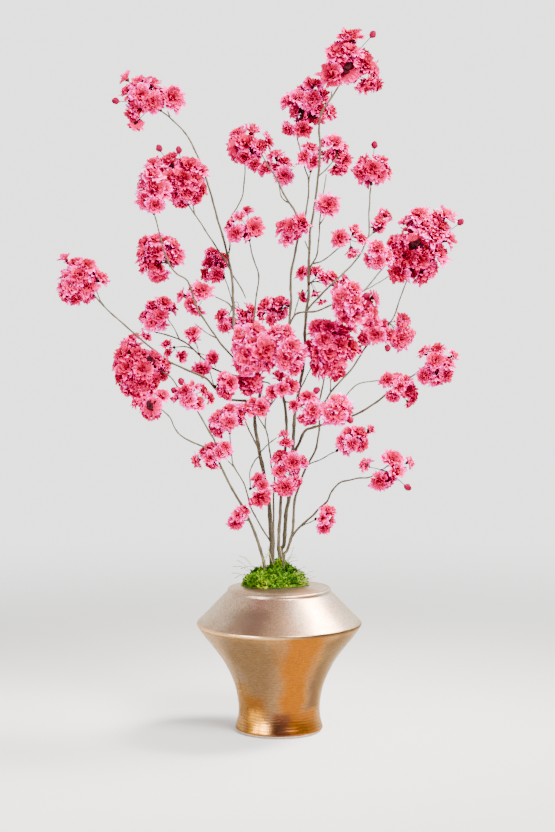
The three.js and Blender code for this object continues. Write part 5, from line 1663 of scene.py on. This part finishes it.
def bud_model():
    """A closed bud of radius 1 that points to +Z, its petals wound into a pleated ball."""
    start_clean()
    bpy.ops.mesh.primitive_uv_sphere_add(segments=15, ring_count=8, radius=1, calc_uvs=True)
    bud = bpy.context.object
    rows = []
    for x, y, z in vertices_of(bud.data):
        around = math.atan2(y, x) + 0.9 * z
        pleat = 1 + PLEAT_DEPTH * math.cos(PLEATS * around)
        narrow = 1 - 0.18 * max(0.0, z)
        rows.append((x * pleat * narrow, y * pleat * narrow, z * 1.2 + 0.1))
    move_vertices(bud.data, rows)
    mark_points(bud.data, "own", 0.5)
    mark_points(bud.data, "depth", 0.4)
    bpy.ops.object.shade_smooth()
    return bud


def calyx_model():
    """A small urn with five sepals, its mouth at the origin and facing +Z, for a blossom of radius 1."""
    start_clean()
    bpy.ops.mesh.primitive_cone_add(
        vertices=10, radius1=0.07, radius2=0.15, depth=0.34, end_fill_type="NGON", location=(0, 0, -0.46)
    )
    calyx = bpy.context.object
    bpy.ops.object.transform_apply(location=True)
    rows = []
    for x, y, z in vertices_of(calyx.data):
        # Every other point of the mouth is drawn out into a sepal.
        sepal = math.hypot(x, y) > 0.1 and round(math.atan2(y, x) / (math.pi / 5)) % 2 == 0
        stretch = 2.5 if sepal else 1.0
        rows.append((x * stretch, y * stretch, z + (0.05 if sepal else 0)))
    move_vertices(calyx.data, rows)
    bpy.ops.object.shade_smooth()
    return calyx


class BLOSSOM_OT_sprays(bpy.types.Operator):
    """Model the blossoms once and set them out in their sprays"""

    bl_idname = "blossom.sprays"
    bl_label = "Blossoms"

    def execute(self, context):
        settings = context.scene.blossom_petals
        self.fullness = settings.fullness
        self.largest = settings.largest
        self.models = {
            "full": [blossom_model("full", seed, OPEN_RINGS, settings.ruffle) for seed in range(8)],
            "fan": [blossom_model("fan", seed, FAN_RINGS, settings.ruffle) for seed in range(40, 46)],
            "spiky": [blossom_model("spiky", seed, SPIKY_RINGS, settings.ruffle) for seed in (21, 22)],
            "bud": [bud_model()],
            "calyx": [calyx_model()],
        }
        petals = petal_material(settings)
        stalks = stalk_material()
        for number, (name, (spur, blossoms, buds)) in enumerate(SPRAYS.items()):
            self.set_out(number, name, spur, blossoms, buds, petals, stalks)
        put_away([model for group in self.models.values() for model in group])
        return {"FINISHED"}

    def set_out(self, number, name, spur, blossoms, buds, petals, stalks):
        """One spray: its petals as one piece, its stalks, calyxes and spur as another."""
        rng = random.Random(100 + number)
        root = place(*spur)
        flowers = []
        for across, up, away, radius, *look in blossoms:
            centre = place(across, up, spur[2] + away)
            swollen = min(radius * SWELLING.get(name, self.fullness) * MM, self.largest)
            flowers.append((centre, swollen, look[0] if look else MID))
        heart = sum((centre for centre, _, _ in flowers), Vector()) / len(flowers)
        heart = heart.lerp(root, 0.3) + Vector((0, 0.004, 0))
        heads = []
        greens = [self.spur_model(root)]
        for centre, radius, look in flowers:
            facing = self.facing(rng, centre, heart, radius, look)
            kind = KINDS[look][0] if len(KINDS[look]) == 1 else rng.choice(KINDS[look])
            tone = TONES[look] + rng.uniform(-TONE_JITTER, TONE_JITTER)
            # Extra dark calyxes: partly painted shade in these sprays' dark patches.
            spare = SPARE_CALYXES if look == BACK and name in SHADED_SPRAYS else 0
            self.add_head(rng, heads, greens, root, centre, facing, radius, kind, tone, spare)
        for across, up, away in buds:
            centre = place(across, up, spur[2] + away)
            facing = (centre - root).normalized()
            self.add_head(rng, heads, greens, root, centre, facing, BUD_RADIUS, "bud", BUD_TONE)
        finish_piece(joined(name + "_petals", heads), petals, "petals", name)
        finish_piece(joined(name + "_stalks", greens), stalks, "bark")

    def facing(self, rng, centre, heart, radius, look):
        """Which way a blossom looks: away from the heart of its spray, and mostly to the light."""
        outward = (centre - heart) / (radius * 1.6)
        jitter = Vector((rng.uniform(-0.4, 0.4), rng.uniform(-0.4, 0.4), rng.uniform(-0.3, 0.5)))
        return (outward + jitter + Vector((0, -TOWARDS[look], 0.12))).normalized()

    def add_head(self, rng, heads, greens, root, centre, facing, radius, kind, tone, spare=0):
        """One blossom or bud with its calyx, spare calyxes behind it, and its stalk from the spur."""
        size = Matrix.Diagonal((radius * rng.uniform(0.84, 1.04), radius, radius, 1))
        matrix = Matrix.Translation(centre) @ turn_towards(facing, rng.uniform(0, 6.28)) @ size
        head = copy_of(rng.choice(self.models[kind]), matrix)
        mark_points(head.data, "tone", tone)
        heads.append(head)
        cup = matrix @ Matrix.Scale(BUD_CALYX, 4) if kind == "bud" else matrix
        greens.append(copy_of(self.models["calyx"][0], cup))
        for _ in range(spare):
            shift = Vector((rng.uniform(-0.3, 0.3), rng.uniform(-0.3, 0.3), rng.uniform(-0.15, 0.2)))
            lean = Matrix.Rotation(rng.uniform(-0.9, 0.9), 4, "X")
            lean = lean @ Matrix.Rotation(rng.uniform(-0.9, 0.9), 4, "Y")
            greens.append(copy_of(self.models["calyx"][0], matrix @ Matrix.Translation(shift) @ lean))
        foot = centre - facing * radius * 0.6
        slack = (foot - root).length
        if slack > 4 * MM:
            middle = (root + foot) / 2 + Vector((0, 0, STALK_RISE * slack)) - facing * slack * STALK_BOW
            route = smooth_route([root, middle, foot], 0.006)
            radii = [STALK_RADIUS - STALK_TAPER * i / len(route) for i in range(len(route))]
            greens.append(tube("stalk", route, radii, 0))

    def spur_model(self, root):
        """The knob on the twig that the stalks spring from."""
        start_clean()
        bpy.ops.mesh.primitive_ico_sphere_add(subdivisions=2, radius=SPUR_RADIUS, location=root)
        spur = bpy.context.object
        bpy.ops.object.transform_apply(location=True)
        rows = []
        for row in vertices_of(spur.data):
            lump = 1 + 0.5 * noise.noise(Vector(row) * 500)
            rows.append(root + (Vector(row) - root) * lump)
        move_vertices(spur.data, rows)
        return spur


# ---- Foam, hidden in the vase ----


class BLOSSOM_OT_foam(bpy.types.Operator):
    """Finish the soaked foam that grips the stems inside the vase"""

    bl_idname = "blossom.foam"
    bl_label = "Floral foam"

    def execute(self, context):
        surface = Surface("soaked_foam")
        pores = surface.noise(surface.coordinates(), 700, 2)
        surface.colour(surface.ramp(pores, [(0.35, (0.02, 0.06, 0.02)), (0.65, (0.06, 0.15, 0.05))]))
        surface.set(Roughness=0.95)
        surface.bump(pores, 0.0005, 0.8)
        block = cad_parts["floral_foam"]
        block.data.materials.clear()
        block.data.materials.append(surface.material)
        return {"FINISHED"}


# ---- Stage ----

# Square lights: place, what they point at, side in metres, spread in degrees, power in watts and colour.
LIGHTS = {
    "window": ((2.5, -3.4, 3.9), (0, 0, 0.75), 2.25, 180, 1260, (1, 0.985, 0.96)),
    "overhead": ((1.8, 0.55, 2.85), (0, 0, 0.2), 1.1, 34, 28, (1, 0.98, 0.95)),
    "fill": ((-2.2, -2.6, 0.9), (0, 0, 0.6), 1.1, 180, 160, (0.98, 0.98, 1)),
    "side": ((-2.2, -1.1, 0.55), (0, 0, 0.05), 0.35, 180, 16, (1, 0.9, 0.72)),
}
# How bright the light all round is behind the vase and in front of it, and its colour.
STUDIO_BEHIND = 2.6
STUDIO_BEFORE = 0.6
STUDIO_TINT = (1, 0.995, 0.98, 1)
FLOOR_RADIUS = 3


class BLOSSOM_OT_stage(bpy.types.Operator):
    """Set up the floor, the lights and the camera"""

    bl_idname = "blossom.stage"
    bl_label = "Stage"

    def execute(self, context):
        settings = context.scene.blossom_stage
        start_clean()
        bpy.ops.mesh.primitive_circle_add(
            vertices=96, radius=FLOOR_RADIUS, fill_type="NGON", location=(0, 0, 0)
        )
        floor = context.object
        floor.name = "floor"
        floor.data.materials.append(floor_material(settings))
        self.light_studio(context)
        for name, (spot, target, side, spread, power, colour) in LIGHTS.items():
            self.add_light(context, name, Vector(spot), Vector(target), side, spread, power, colour)
        start_clean()
        bpy.ops.object.camera_add(location=settings.eye)
        camera = context.object
        camera.name = "eye"
        gaze = Vector(settings.target) - Vector(settings.eye)
        camera.rotation_euler = gaze.to_track_quat("-Z", "Y").to_euler()
        camera.data.lens = settings.lens
        camera.data.sensor_fit = "VERTICAL"
        camera.data.sensor_height = 36
        context.scene.camera = camera
        return {"FINISHED"}

    def light_studio(self, context):
        """Soft light from all round, brightest behind the vase."""
        world = bpy.data.worlds.new("studio")
        context.scene.world = world
        world.use_nodes = True
        nodes = world.node_tree.nodes
        links = world.node_tree.links
        source = nodes.new("ShaderNodeTexCoord")
        parts = nodes.new("ShaderNodeSeparateXYZ")
        brightness = nodes.new("ShaderNodeMapRange")
        brightness.interpolation_type = "SMOOTHSTEP"
        brightness.inputs["From Min"].default_value = -0.5
        brightness.inputs["From Max"].default_value = 0.6
        brightness.inputs["To Min"].default_value = STUDIO_BEFORE
        brightness.inputs["To Max"].default_value = STUDIO_BEHIND
        links.new(source.outputs["Generated"], parts.inputs["Vector"])
        links.new(parts.outputs["Y"], brightness.inputs["Value"])
        links.new(brightness.outputs["Result"], nodes["Background"].inputs["Strength"])
        nodes["Background"].inputs["Color"].default_value = STUDIO_TINT

    def add_light(self, context, name, spot, target, side, spread, power, colour):
        start_clean()
        bpy.ops.object.light_add(type="AREA", location=spot)
        light = context.object
        light.name = name
        light.rotation_euler = (target - spot).to_track_quat("-Z", "Y").to_euler()
        light.data.size = side
        light.data.spread = math.radians(spread)
        light.data.energy = power
        light.data.color = colour
        light.visible_camera = False


# ---- Panel ----

OPERATORS = (
    BLOSSOM_OT_stage,
    BLOSSOM_OT_vase,
    BLOSSOM_OT_foam,
    BLOSSOM_OT_moss,
    BLOSSOM_OT_stems,
    BLOSSOM_OT_sprays,
)


class BLOSSOM_PT_panel(bpy.types.Panel):
    """Lists the pieces of the arrangement"""

    bl_idname = "BLOSSOM_PT_panel"
    bl_label = "Cherry blossom vase"
    bl_space_type = "VIEW_3D"
    bl_region_type = "UI"
    bl_category = "Blossom"

    def draw(self, context):
        for operator in OPERATORS:
            self.layout.operator(operator.bl_idname)
        for name in SETTINGS:
            group = getattr(context.scene, name)
            box = self.layout.box()
            for field in group.__annotations__:
                box.prop(group, field)


def register():
    for name, group in SETTINGS.items():
        bpy.utils.register_class(group)
        setattr(bpy.types.Scene, name, bpy.props.PointerProperty(type=group))
    for operator in OPERATORS:
        bpy.utils.register_class(operator)
    bpy.utils.register_class(BLOSSOM_PT_panel)


def unregister():
    bpy.utils.unregister_class(BLOSSOM_PT_panel)
    for operator in reversed(OPERATORS):
        bpy.utils.unregister_class(operator)
    for name, group in reversed(SETTINGS.items()):
        delattr(bpy.types.Scene, name)
        bpy.utils.unregister_class(group)


def main():
    register()
    bpy.ops.blossom.stage()
    bpy.ops.blossom.vase()
    bpy.ops.blossom.foam()
    bpy.ops.blossom.moss()
    bpy.ops.blossom.stems()
    bpy.ops.blossom.sprays()


if __name__ == "__main__":
    main()
